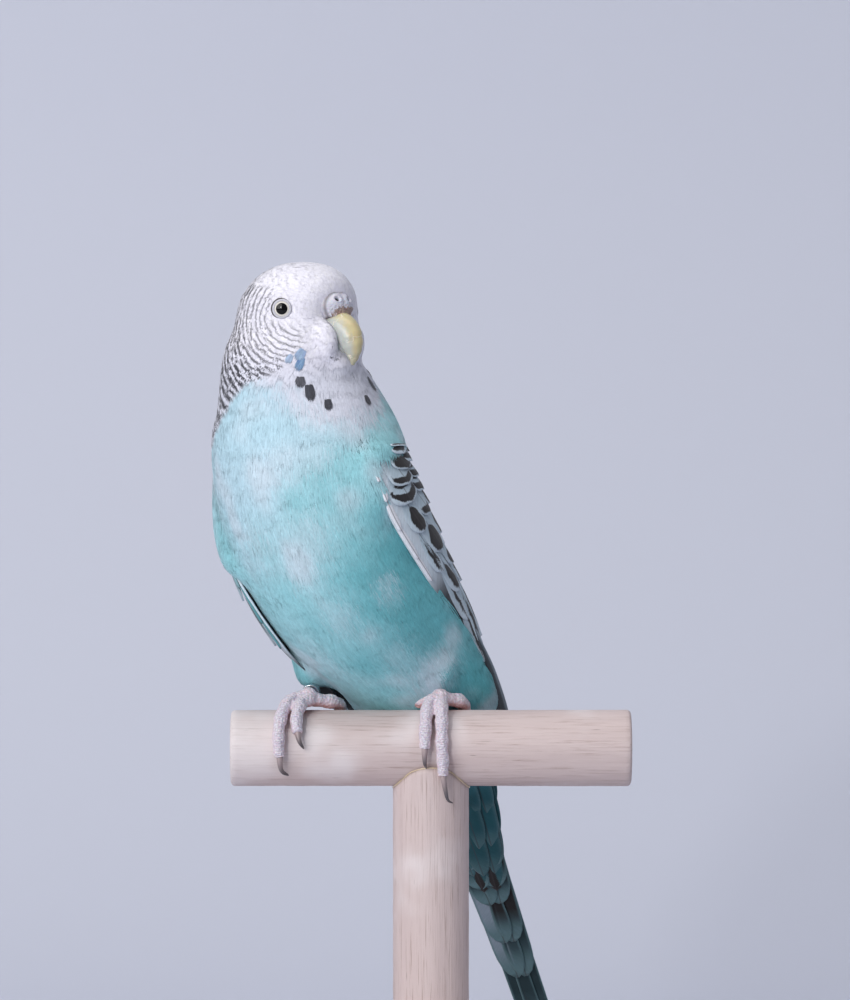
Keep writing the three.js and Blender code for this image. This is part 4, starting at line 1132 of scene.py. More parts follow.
def wingPiece(name, side):
    draw = np.random.default_rng(31 + side)
    vanes = []

    def grow(start, end, half, lift, tint, marks, tilt):  # start and end are (u, v)
        (u0, v0), (u1, v1) = start, end

        def place(s, across, rise):
            u, v = mix(u0, u1, s), mix(v0, v1, s)
            reach = np.linalg.norm(wingPlace(side, u, v + 0.02, 0) - wingPlace(side, u, v - 0.02, 0), axis=-1) / 0.04
            base = np.maximum(wingRise(u, v) + mix(-0.7, lift, s), 0.3)
            return wingPlace(side, u, np.clip(v + across / np.maximum(reach, 8), 0.0, 1.0), base + rise)

        length = float(np.linalg.norm(place(1.0, 0.0, 0.0) - place(0.0, 0.0, 0.0)))
        vanes.append(vaneArrays(place, half, length, tint, marks(length), 10 * draw.random(), tilt=tilt))

    for kind, count, start, end, low, high, half, lift in wingTiers:
        for k in range(count):
            w = k / (count - 1)
            u0, u1, v0, v1 = (mix(pair[0], pair[1], w) for pair in (start, end, low, high))
            tone = wingTints[kind] * draw.uniform(0.92, 1.06)
            if kind == "primary":
                tint = lambda s, x, tone=tone: mix(tone, wingTints["primaryEdge"], step(0.8, 0.92, x)[..., None])
            else:
                tint = fringed(tone, wingTints["fringe"], 0.5)
            tipPlace = (u1 + draw.uniform(-0.008, 0.008), v1 + draw.uniform(-0.012, 0.012))
            grow((u0, v0), tipPlace, half, lift, tint, partial(wingMark, kind, half), 0.1)
    for u, v, length, half, lift, marks in wingFront:
        shown = side > 0 or v > 0.25
        # on the right wing the front feathers by the body go from teal to the primaries' dark tone: painted shade in
        # the gap between the wing and the body
        shade = mix(wingTints["shadeTeal"], wingTints["primary"], step(0.2, 0.5, u))
        tone = (wingTints["front"] if shown else shade) * draw.uniform(0.94, 1.06)
        tint = fringed(tone, mix(tone, wingTints["fringe"], 0.45), 0.6)
        start = (max(u - length / wingLength, 0.0), v * 0.96)
        grow(start, (u, v), half * 1.12, lift, tint, partial(markedBy, marks if shown else []), 0.08)
    for u, length, half in wingEdge:
        # on the right wing the white edge turns to the same painted-shade teal further along
        tone = wingTints["edge"] if side > 0 else mix(wingTints["edge"], wingTints["shadeTeal"], step(0.15, 0.34, u))
        tint = lambda s, x, tone=tone: mix(tone, tone * 0.93, (x * x)[..., None])
        width = half * (1 if side > 0 else 0.6)
        grow((u - length / wingLength, 0.03), (u, 0.012), width, 0.35, tint, partial(markedBy, []), 0.0)
    for half, path in tipFeathers[side]:
        reachTip = np.array(path[-1]) - path[0]
        flat = unit(np.cross(reachTip, tipFacing))

        def hang(s, across, rise, path=path, flat=flat):
            return smooth(path, s * (len(path) - 1)) + flat * across[..., None] + tipFacing * rise[..., None]

        shade, edge = (0.6, 2.7) if side < 0 else (1.5, 4.2)
        tone = wingTints["primary"] * shade
        tint = lambda s, x, tone=tone, edge=edge: mix(tone, tone * edge, step(0.6, 0.9, np.abs(x))[..., None])
        length = float(np.linalg.norm(reachTip))
        vanes.append(vaneArrays(hang, half, length, tint, unmarked, 10 * draw.random()))
    # a thin core closes the wing under its feathers
    rows, cols = wingCore
    u, v = np.meshgrid(np.linspace(0.04, 1, rows), np.linspace(0, 1, cols), indexing="ij")
    upper = wingPlace(side, u, v, wingRise(u, v) * mix(0.7, 0.35, step(0.3, 0.6, u)))
    under = wingPlace(side, u, v, 0.0)
    tone = mix(wingTints["fringe"], wingTints["primary"], step(0.4, 0.48, u)[..., None])
    weave = np.stack([u * 60, v * 20 - 10, 0 * u], -1)
    vanes.append(slab(upper, under, slabFaces(rows, cols), tone, np.full_like(u, -1.0), weave))
    return vanePiece(name, vanes, vaneFinish)


for name, side in (("left", 1), ("right", -1)):
    keep(wingPiece("wing_feathers_" + name, side), "wing_plumage", "wing_" + name)
print("wings done")

tail = {
    "half": 10.4, "thick": 4.6, "narrows": 0.55, "width": 3.8, "start": 4.0, "rings": 16, "sides": 28,
    # ink is painted shadow on each tail feather, under the feather lying over it
    "teal": rgb(18, 84, 94), "slate": rgb(28, 68, 78), "edge": rgb(96, 130, 138), "ink": rgb(24, 26, 30),
    "pale": rgb(140, 158, 174),
}
# length, offset at root and tip, and height over the middle of each pair of feathers
tailPairs = [
    (31, 6.4, 3, -1.1), (37, 5.5, 2, -0.75), (42, 4.6, 1.4, -0.4),
    (53.5, 3.8, 1.2, -0.05), (64, 3, 1.1, 0.3), (83.5, 2, 1, 0.65),
]
covertRows = [  # count, root along, tip along, spread at root and tip, height, half width
    (5, -2.0, 16.0, 7.5, 6.4, -4.3, 3.2),
    (4, 2.0, 25.0, 6.4, 4.6, -3.5, 3.4),
    (3, 7.0, 33.0, 4.8, 2.9, -2.7, 3.6),
    (2, 13.0, 38.0, 2.8, 1.7, -2.1, 3.5),
]


def buildTail():
    centre, up, forward, left, _ = sectionAt(2.0)
    draw = np.random.default_rng(53)
    vanes = []

    def at(along, across, height):
        return centre - up * along[..., None] + left * across[..., None] - forward * height[..., None]

    teal, slate, edge, ink, pale = (tail[key] for key in ("teal", "slate", "edge", "ink", "pale"))
    for k, (length, root, tip, height) in enumerate(tailPairs):
        for side in (1, -1):
            def place(s, across, rise, here=(length, root, tip, height, side)):
                length, root, tip, height, side = here
                bow = 0.9 * np.sin(np.pi * s)
                return at(mix(tail["start"], length, s), side * mix(root, tip, s) + across,
                          height + side * 0.09 + rise + bow * 0.3)

            def tint(s, x, side=side, k=k, length=length):
                fromTip = (1 - s) * length
                # darker away from the tip: painted shadow under the feather that lies over it
                colour = mix(slate, ink, step(3.0, 9.0, fromTip)[..., None])
                if k > 3:
                    colour = mix(colour, slate, 0.6)
                if k in (3, 4) and side < 0:
                    colour = mix(colour, pale, (step(1.0, 5.0, fromTip) * step(0.25, -0.05, x))[..., None])
                return mix(colour, edge, step(0.8, 0.95, np.maximum(np.abs(x), s * 1.005 - 0.02))[..., None])

            half = tail["width"] * (0.98 if k < 5 else 0.85)
            shape = {"blunt": 0.86 - 0.03 * (k < 3), "rootWidth": 0.8, "curl": 0.25, "tilt": 0.03}
            vanes.append(vaneArrays(place, half, length, tint, unmarked, 10 * draw.random(), **shape))
    for above in (1, -1):
        for row, (count, start, end, spread, tipSpread, height, half) in enumerate(covertRows):
            for k in range(count):
                w = k / (count - 1) * 2 - 1

                def place(s, across, rise, here=(start, end, spread * w, tipSpread * w, height, above, w)):
                    start, end, first, last, height, above, w = here
                    sink = mix(1.0, 0.62, s) * (1 - 0.32 * w * w)
                    return at(mix(start, end, s), mix(first, last, s) + across, above * (-height * sink + rise))

                tone = teal * draw.uniform(0.88, 1.14) * (1 if above < 0 else 1.1)
                root = mix(colours["rump"], tone, 0.35) if row == 0 else tone
                tint = lambda s, x, tone=tone, root=root: mix(
                    mix(root, tone, step(0.1, 0.75, s)[..., None]), edge,
                    (step(0.74, 0.95, np.maximum(np.abs(x), s)) * 0.5)[..., None])
                lastMark = lambda along, across, s, x: ovalDepth(s * 20, across, 21, 6.5, 1.3)
                depth = lastMark if row == 3 else unmarked
                shape = {"blunt": 0.6, "rootWidth": 0.9, "curl": 0.5}
                vanes.append(vaneArrays(place, half, end - start, tint, depth, 10 * draw.random(), **shape))
    # the flesh at the tail's root
    rings, sides = tail["rings"], tail["sides"]
    w = np.linspace(0, 1, rings)
    along = mix(-3.0, 30.0, w)
    turn = ringTurns(tail["sides"])
    half = tail["half"] * (1 - tail["narrows"] * w) * 0.86
    thick = tail["thick"] * (1 - 0.84 * w ** 0.8) * 0.86
    ring = at(np.repeat(along[:, None], sides, 1), half[:, None] * np.sin(turn), thick[:, None] * np.cos(turn))
    points = np.concatenate([ring.reshape(-1, 3), ring[:1].mean(1), ring[-1:].mean(1)])
    keep(vanePiece("tail_feathers", vanes, vaneFinish), "tail_plumage", "tail")
    core = meshPiece("tail_root", points, loftFaces(rings, sides), vaneFinish, {
        "tint": np.tile(teal * 0.8, (len(points), 1)), "dark": np.full(len(points), -1.0),
        "weave": points * (1, 0.2, 1)})
    keep(outwardKeeping(core), "tail_plumage")


buildTail()
print("tail done")

# eyes, cere and bill


def outWayOf(side):
    turn = np.radians(head["heading"] + side * eye["turn"])
    return np.array([np.sin(turn), -np.cos(turn), 0.0])


def turned(way, radii, heights, middle, sides, twist=0.0):  # rings round an axis through middle
    level = unit(np.cross(way, (0, 0, 1.0)))
    upright = np.cross(level, way)
    turn = ringTurns(sides) + twist
    circle = level * np.cos(turn)[:, None] + upright * np.sin(turn)[:, None]
    return middle + way * heights[:, None, None] + circle[None] * radii[:, None, None]


def eyeMaterial():
    made, tree, shader, place = startMaterial("eyeGlass")
    away = attribute(tree, "away").outputs["Fac"]
    streaks = noise(tree, place, 2600.0, 3.0)
    pale = blend(tree, calc(tree, "MULTIPLY", streaks, 0.5), rgba(236, 232, 224), rgba(190, 184, 172))
    colour = blend(tree, between(tree, away, eye["pupil"] - 0.05, eye["pupil"] + 0.05), rgba(7, 7, 9), pale)
    colour = blend(tree, between(tree, away, eye["iris"] - 0.04, eye["iris"] + 0.12), colour, rgba(64, 60, 58))
    closeMaterial(tree, shader, colour, 0.06, Specular_IOR_Level=0.5, IOR=1.34)
    return made


def lidMaterial():
    made, tree, shader, place = startMaterial("eyelidSkin")
    grain = voronoi(tree, place, 3800.0)
    colour = blend(tree, grain, rgba(212, 211, 219), rgba(182, 181, 190))
    closeMaterial(tree, shader, colour, 0.55, grain, 0.00008, 0.7)
    return made


eyeFinish, lidFinish = eyeMaterial(), lidMaterial()
lid = {"major": 2.06, "half": 0.3, "deep": 0.3, "out": 2.46, "beads": 34, "beadSize": 0.085, "round": 20}


def scatterTree(name, sizeName, segments, rings, finish, placing):
    # a small ball on every vertex, joined to one mesh. placing gives the balls' turn and scale
    tree = bpy.data.node_groups.new(name, "GeometryNodeTree")
    for flow in ("INPUT", "OUTPUT"):
        tree.interface.new_socket("Geometry", in_out=flow, socket_type="NodeSocketGeometry")
    size = tree.interface.new_socket(sizeName, in_out="INPUT", socket_type="NodeSocketFloat")
    given, result = tree.nodes.new("NodeGroupInput"), tree.nodes.new("NodeGroupOutput")
    ball = addNode(tree, "GeometryNodeMeshUVSphere", {"Segments": segments, "Rings": rings, "Radius": 1.0})
    spread = addNode(tree, "GeometryNodeInstanceOnPoints", {
        "Points": given.outputs["Geometry"], "Instance": ball.outputs["Mesh"],
        **placing(tree, given.outputs[sizeName])})
    real = addNode(tree, "GeometryNodeRealizeInstances", {"Geometry": spread.outputs[0]})
    painted = addNode(tree, "GeometryNodeSetMaterial", {"Geometry": real.outputs[0], "Material": finish})
    tree.links.new(painted.outputs[0], result.inputs[0])
    return tree, size.identifier


def beadPlacing(tree, size):  # beads of slightly uneven size
    random = addNode(tree, "FunctionNodeRandomValue", {2: 0.75, 3: 1.25, "Seed": 5}, data_type="FLOAT")
    return {"Scale": calc(tree, "MULTIPLY", random.outputs[1], size)}


def grown(made, tree, socket, value):  # a mesh with a node tree applied to it
    change = made.modifiers.new("nodes", "NODES")
    change.node_group = tree
    change[socket] = value
    return applied(made)


def buildEye(name, side):
    middle = headPoint(side * eye["left"], eye["forward"], eye["up"])
    way = outWayOf(side)
    rows, sides = eye["rows"], eye["sides"]
    polar = np.linspace(0.02, np.pi - 0.02, rows)
    rings = turned(way, eye["radius"] * np.sin(polar), eye["radius"] * np.cos(polar), middle, sides)
    points = np.concatenate([rings.reshape(-1, 3), [middle + way * eye["radius"]], [middle - way * eye["radius"]]])
    offset = points - middle
    along = offset @ way
    away = np.linalg.norm(offset - along[:, None] * way, axis=1) + 9.0 * (along < 0)
    ball = meshPiece("eyeball_" + name, points, loftFaces(rows, sides), eyeFinish, {"away": away})
    keep(outwardKeeping(ball), "eye", "eye_" + name)
    turn = ringTurns(lid["round"])
    radii = lid["major"] + lid["half"] * np.cos(turn)
    heights = lid["out"] + lid["deep"] * np.sin(turn) - 0.18 * (radii - lid["major"])
    rings = turned(way, radii, heights, middle, sides)
    rim = meshPiece("eyelid_" + name, rings.reshape(-1, 3), [gridFaces(lid["round"], sides, True, True)], lidFinish)
    outwardKeeping(rim)
    beadRing = turned(way, np.array([lid["major"] - 0.24]), np.array([lid["out"] + 0.27]), middle, lid["beads"], 0.05)
    beads = meshPiece("lidBeads_" + name, beadRing.reshape(-1, 3), [np.array([[0, 1, 2]])], None)
    grown(beads, *scatterTree("lidBeads", "Bead size", 8, 5, lidFinish, beadPlacing), lid["beadSize"] * 0.001)
    keep(joined("eyelid_" + name, [rim, beads]), "cere")


for name, side in (("left", 1), ("right", -1)):
    buildEye(name, side)

cere = {"forward": 12.2, "up": 1.7, "deep": 3.6, "wide": 5.0, "high": 3.7, "rows": 90, "sides": 110}
nostril = {"left": 1.9, "forward": 15.25, "up": 3.5, "radius": 0.62, "depth": 1.1}


def cereMaterial():
    made, tree, shader, place = startMaterial("cereSkin")
    crust = attribute(tree, "crust").outputs["Fac"]
    pit = attribute(tree, "pit").outputs["Fac"]
    rough = noise(tree, place, 1900.0, 6.0, 0.65)
    flakes = voronoi(tree, place, 2100.0, "F2")
    skinColour = blend(tree, noise(tree, place, 420.0), rgba(222, 216, 226), rgba(196, 202, 216))
    brown = blend(tree, noise(tree, place, 1300.0, 4.0), rgba(120, 78, 74), rgba(206, 190, 180))
    mask = between(tree, calc(tree, "ADD", crust, calc(tree, "MULTIPLY_ADD", rough, 2.2, -1.1)), 0.5, 0.7)
    colour = blend(tree, mask, skinColour, brown)
    # the nostril pits are coloured dark: painted shade inside the openings
    colour = blend(tree, between(tree, pit, 0.35, 0.8), colour, rgba(52, 46, 50))
    colour = blend(tree, attribute(tree, "rim").outputs["Fac"], colour, rgba(86, 72, 70))
    height = calc(tree, "ADD", calc(tree, "MULTIPLY", flakes, calc(tree, "MULTIPLY_ADD", mask, 0.7, 0.25)), rough)
    closeMaterial(tree, shader, colour, 0.42, height, 0.00022, 0.8, Subsurface_Weight=0.12, Subsurface_Scale=0.001)
    return made


def buildCere():
    size = (cere["wide"], cere["deep"], cere["high"])
    ways = ballWays(cere["rows"], cere["sides"])
    h = ways * size + (0, cere["forward"], cere["up"])
    # two soft lobes with a groove between them and a fold over the bill
    lobes = 0.1 * np.exp(-(np.abs(h[:, 0]) - 1.9) ** 2 / 1.6) * step(-1, 2, h[:, 2] - 1)
    groove = -0.12 * np.exp(-(h[:, 0] / 0.5) ** 2) * step(0.2, 3.2, h[:, 2])
    fold = 0.22 * np.exp(-((h[:, 2] + 0.1 + 0.05 * h[:, 0] ** 2) / 0.45) ** 2)
    pit = np.zeros(len(h))
    rise = lobes + groove + fold
    for side in (1, -1):
        away = np.linalg.norm((h - (side * nostril["left"], nostril["forward"], nostril["up"])) * (1, 0.7, 1.15), axis=1)
        pit = np.maximum(pit, np.exp(-(away / nostril["radius"]) ** 4))
        rise += 0.16 * np.exp(-((away - nostril["radius"] * 1.5) / 0.35) ** 2)
    crust = step(3.4, 0.4, h[:, 2]) * step(-3.4, -1.4, h[:, 2] + 0.2) * step(-4.6, -0.4, h[:, 0] + 0.6)
    # dark lines round the top and just over the bill
    rim = 0.85 * np.exp(-((h[:, 2] + 0.75 + 0.03 * h[:, 0] ** 2) / 0.16) ** 2)
    outwards = np.hypot(h[:, 0] / cere["wide"], (h[:, 2] - cere["up"]) / cere["high"])
    rim = np.maximum(rim, 0.7 * np.exp(-((outwards - 0.93) / 0.05) ** 2))
    rise += crust * 0.13 * ripple(h, 0.9, 61) + 0.05 * ripple(h, 1.7, 62) - pit * nostril["depth"]
    h = h + unit(ways / size) * rise[:, None]
    made = meshPiece("cere_skin", headPoint(h[:, 0], h[:, 1], h[:, 2]), loftFaces(cere["rows"], cere["sides"]), cereMaterial(),
                     {"crust": crust, "pit": pit, "rim": rim * (h[:, 1] > cere["forward"])})
    keep(outwardKeeping(made), "cere", "cere")


buildCere()

# forward, up, half width and half depth of the upper bill, from the face to the tip
billRows = [
    (11.6, -2.6, 3.3, 3.0), (14.6, -3, 3.5, 3.2), (17, -5, 3.2, 3.0),
    (18.2, -7.8, 2.5, 2.4), (18.5, -10.3, 1.3, 1.3), (18.2, -12.2, 0.3, 0.3),
]
lowerBill = {"forward": 14.6, "up": -7, "half": 2.5, "deep": 2.6, "high": 2.7}


def billMaterial(name):
    made, tree, shader, place = startMaterial(name)
    run = attribute(tree, "along").outputs["Fac"]
    ridge = attribute(tree, "ridge").outputs["Fac"]
    streaks = noise(tree, scaled(tree, place, 1, 1, 0.22), 1500.0, 4.0)
    soft = calc(tree, "ADD", ridge, calc(tree, "MULTIPLY_ADD", streaks, 0.5, -0.25))
    colour = blend(tree, between(tree, soft, 0.35, 0.95), rgba(184, 188, 182), rgba(208, 194, 148))
    colour = blend(tree, between(tree, run, 0.55, 0.95), colour, rgba(176, 172, 146))
    # thin pale flaking lines that cross the bill
    uneven = calc(tree, "MULTIPLY", noise(tree, place, 520.0, 3.0), 1.5)
    wave = calc(tree, "ADD", calc(tree, "MULTIPLY", run, 3.4), uneven)
    line = calc(tree, "ABSOLUTE", calc(tree, "SUBTRACT", calc(tree, "FRACT", wave), 0.5))
    flake = calc(tree, "MULTIPLY", between(tree, line, 0.07, 0.0), between(tree, noise(tree, place, 300.0), 0.42, 0.6))
    colour = blend(tree, calc(tree, "MULTIPLY", flake, 0.8), colour, rgba(240, 234, 214))
    height = calc(tree, "ADD", streaks, calc(tree, "MULTIPLY", flake, 1.2))
    closeMaterial(tree, shader, colour, 0.34, height, 0.00012, 0.6, Coat_Weight=0.25, Coat_Roughness=0.25,
                  Subsurface_Weight=0.15, Subsurface_Scale=0.0012)
    return made


def buildBill():
    rings, sides = 64, 48
    t = np.linspace(0, len(billRows) - 1, rings)
    rows = smooth(billRows, t)
    turn = ringTurns(sides)
    run = np.gradient(rows[:, :2], axis=0)
    run /= np.linalg.norm(run, axis=1, keepdims=True)
    over = np.stack([-run[:, 1], run[:, 0]], -1)  # towards the ridge, in forward and up
    square = 0.86  # under 1, a squarer section with a firmer ridge
    c, s = np.cos(turn), np.sin(turn)
    wide = np.sign(c) * np.abs(c) ** square
    deep = np.sign(s) * np.abs(s) ** np.where(s > 0, 1.0, 0.8)
    half, thick = np.maximum(rows[:, 2:3], 0.05), np.maximum(rows[:, 3:4], 0.05)
    left = half * wide[None] * (1 - 0.16 * np.maximum(s, 0)[None] ** 3)
    lift = thick * deep[None] * (1 + 0.05 * np.maximum(s, 0)[None] ** 4)
    forward = rows[:, 0:1] + over[:, 0:1] * lift
    up = rows[:, 1:2] + over[:, 1:2] * lift
    wear = 0.05 * np.sin(t[:, None] * 9 + 2 * np.cos(turn)[None]) * step(1.6, 2.4, t)[:, None]
    points = headPoint(left * (1 + wear * 0.3), forward + over[:, 0:1] * wear, up + over[:, 1:2] * wear).reshape(-1, 3)
    ends = headPoint([0, 0], rows[[0, -1], 0], rows[[0, -1], 1])
    along = np.concatenate([np.repeat(t / t[-1], sides), [0, 1]])
    ridge = np.concatenate([np.tile(np.sin(turn), rings), [0, 1]])
    made = meshPiece("bill_upper_horn", np.concatenate([points, ends]), loftFaces(rings, sides),
                     billMaterial("billHorn"), {"along": along, "ridge": ridge})
    keep(outwardKeeping(made), "bill", "bill_upper")
    ways = ballWays(40, 48)
    size = (lowerBill["half"], lowerBill["deep"], lowerBill["high"])
    h = ways * size + (0, lowerBill["forward"], lowerBill["up"])
    # the cup rises to a square cutting edge in front
    h[:, 2] += 0.35 * step(0.2, 0.9, ways[:, 1]) * step(-0.2, 0.8, ways[:, 2])
    made = meshPiece("bill_lower_horn", headPoint(h[:, 0], h[:, 1], h[:, 2]), loftFaces(40, 48), billMaterial("lowerHorn"),
                     {"along": 0.5 + 0.4 * ways[:, 2], "ridge": ways[:, 1] * 0.4})
    keep(outwardKeeping(made), "bill", "bill_lower")


buildBill()
print("head done")

# feet

toe = {"radius": 1.68, "tip": 1.4, "rings": 46, "sides": 20, "voxel": 0.00022, "steps": 400, "plateGap": 0.62}
claw = {"radius": 0.95, "sides": 14, "rings": 24}
palm = {"radius": 2.3}
shank = {"radius": 1.25}
# a place on the bar is (x, angle from its top towards the front, rise off its surface)
feet = {
    "right": {
        "palm": (-29.4, 6, 3.3), "ankle": (-28.2, 9.5, 14),
        "toes": [
            [(-29.8, 6, 3.2), (-33, 14, 3), (-35.4, 38, 2.1), (-36.2, 68, 1.9), (-36, 98, 1.8)],
            [(-29, 10, 3), (-31, 24, 2.7), (-32, 46, 2.1), (-31.7, 68, 1.9)],
            [(-28.4, 5, 2.8), (-25.6, -1, 2.1), (-23, -12, 1.9), (-21.6, -36, 1.8), (-21.2, -62, 1.75)],
            [(-30.2, 3, 2.8), (-33, -10, 2.2), (-34.6, -32, 1.9), (-34.8, -58, 1.75)],
        ],
        "claws": [
            [(-35.5, 116, 1.9), (-33.9, 127, 1)], [(-31.2, 79, 2.2), (-30.2, 88, 1)],
            [(-21.4, -82, 1.9), (-22.1, -94, 0.8)], [(-34.6, -76, 1.9), (-34, -88, 0.8)],
        ],
    },
    "left": {
        "palm": (2.2, 6, 3), "ankle": (2.6, 7.5, 14.5),
        "toes": [
            [(2.3, 6, 3), (2.4, 22, 2.8), (2.5, 48, 2.1), (2.6, 86, 1.8), (2.8, 104, 2.1), (2.9, 119, 3.3)],
            [(1.5, 10, 2.9), (-0.3, 22, 2.6), (-1.2, 50, 2.1), (-1.5, 88, 1.9)],
            [(3, 4, 2.8), (5.2, -2, 2.4), (7.2, -12, 2.1), (8.2, -36, 1.8), (8.4, -62, 1.75)],
            [(1.2, 3, 2.6), (-1.8, -3, 2.2), (-3.8, -16, 2), (-4.2, -42, 1.8), (-4, -60, 1.75)],
        ],
        "claws": [
            [(3.4, 131, 5.2), (4.1, 138.5, 6.8), (5.2, 140, 7.2)], [(-1.5, 105, 2), (-1.1, 116, 0.9)],
            [(8.2, -82, 1.9), (7.6, -94, 0.8)], [(-4, -78, 1.9), (-3.6, -90, 0.8)],
        ],
    },
}


def barPoint(place):
    x, angle, rise = place
    reach = bar["radius"] + rise
    return np.array([x, -reach * np.sin(np.radians(angle)), reach * np.cos(np.radians(angle))])


def threadThrough(stops):  # an even centripetal curve through points
    stops = np.array([2 * stops[0] - stops[1], *stops, 2 * stops[-1] - stops[-2]])
    path = []
    for a, b, c, d in zip(stops[:-3], stops[1:-2], stops[2:-1], stops[3:]):
        t0 = 0.0
        t1 = t0 + np.sqrt(np.linalg.norm(b - a))
        t2 = t1 + np.sqrt(np.linalg.norm(c - b))
        t3 = t2 + np.sqrt(np.linalg.norm(d - c))
        t = np.linspace(t1, t2, 60)[:, None]
        first = (t1 - t) / (t1 - t0) * a + (t - t0) / (t1 - t0) * b
        second = (t2 - t) / (t2 - t1) * b + (t - t1) / (t2 - t1) * c
        third = (t3 - t) / (t3 - t2) * c + (t - t2) / (t3 - t2) * d
        left = (t2 - t) / (t2 - t0) * first + (t - t0) / (t2 - t0) * second
        right = (t3 - t) / (t3 - t1) * second + (t - t1) / (t3 - t1) * third
        path.append((t2 - t) / (t2 - t1) * left + (t - t1) / (t2 - t1) * right)
    path = np.concatenate(path)
    run = np.concatenate([[0], np.cumsum(np.linalg.norm(np.diff(path, axis=0), axis=1))])
    even = np.linspace(0, run[-1], toe["steps"])
    return np.stack([np.interp(even, run, path[:, k]) for k in range(3)], -1)


def skinOfFeet():
    made, tree, shader, place = startMaterial("footSkin")
    cells = voronoi(tree, place, 1500.0)
    fine = noise(tree, place, 900.0, 4.0)
    under = attribute(tree, "under").outputs["Fac"]
    colour = blend(tree, fine, rgba(240, 230, 238), rgba(222, 208, 218))
    colour = blend(tree, calc(tree, "MULTIPLY", between(tree, cells, 0.25, 0.6), 0.45), colour, rgba(196, 172, 184))
    # darker and warmer where the toes face the bar: painted shade with a painted warm reflection of the wood
    colour = blend(tree, calc(tree, "MULTIPLY", between(tree, under, 0.0, 0.8), 0.75), colour, rgba(206, 146, 138))
    height = calc(tree, "SUBTRACT", 1.0, cells)
    closeMaterial(tree, shader, colour, 0.55, height, 0.00028, 0.85, Subsurface_Weight=0.15, Subsurface_Scale=0.0015)
    return made


def clawMaterial():
    made, tree, shader, place = startMaterial("clawHorn")
    run = attribute(tree, "along").outputs["Fac"]
    streaks = noise(tree, place, 1300.0, 3.0)
    colour = blend(tree, between(tree, run, 0.0, 0.75), rgba(176, 158, 158), rgba(70, 66, 72))
    colour = blend(tree, calc(tree, "MULTIPLY", streaks, 0.3), colour, rgba(120, 110, 112))
    closeMaterial(tree, shader, colour, 0.32, streaks, 0.00008, 0.5, Coat_Weight=0.3, Coat_Roughness=0.2)
    return made


footFinish, clawFinish = skinOfFeet(), clawMaterial()


plateValues = ("wayAlong", "wayOver", "plate")  # each plate's direction, upper side and size


def platePlacing(tree, size):  # overlapping plates down each toe
    along, over, plate = [
        addNode(tree, "GeometryNodeInputNamedAttribute", {"Name": key}, data_type="FLOAT_VECTOR").outputs[0]
        for key in plateValues]
    first = addNode(tree, "FunctionNodeAlignRotationToVector", {"Vector": over}, axis="Z").outputs[0]
    second = addNode(tree, "FunctionNodeAlignRotationToVector", {"Rotation": first, "Vector": along},
                     axis="Y", pivot_axis="Z").outputs[0]
    scale = addNode(tree, "ShaderNodeVectorMath", {0: plate, "Scale": size}, operation="SCALE").outputs[0]
    return {"Rotation": second, "Scale": scale}


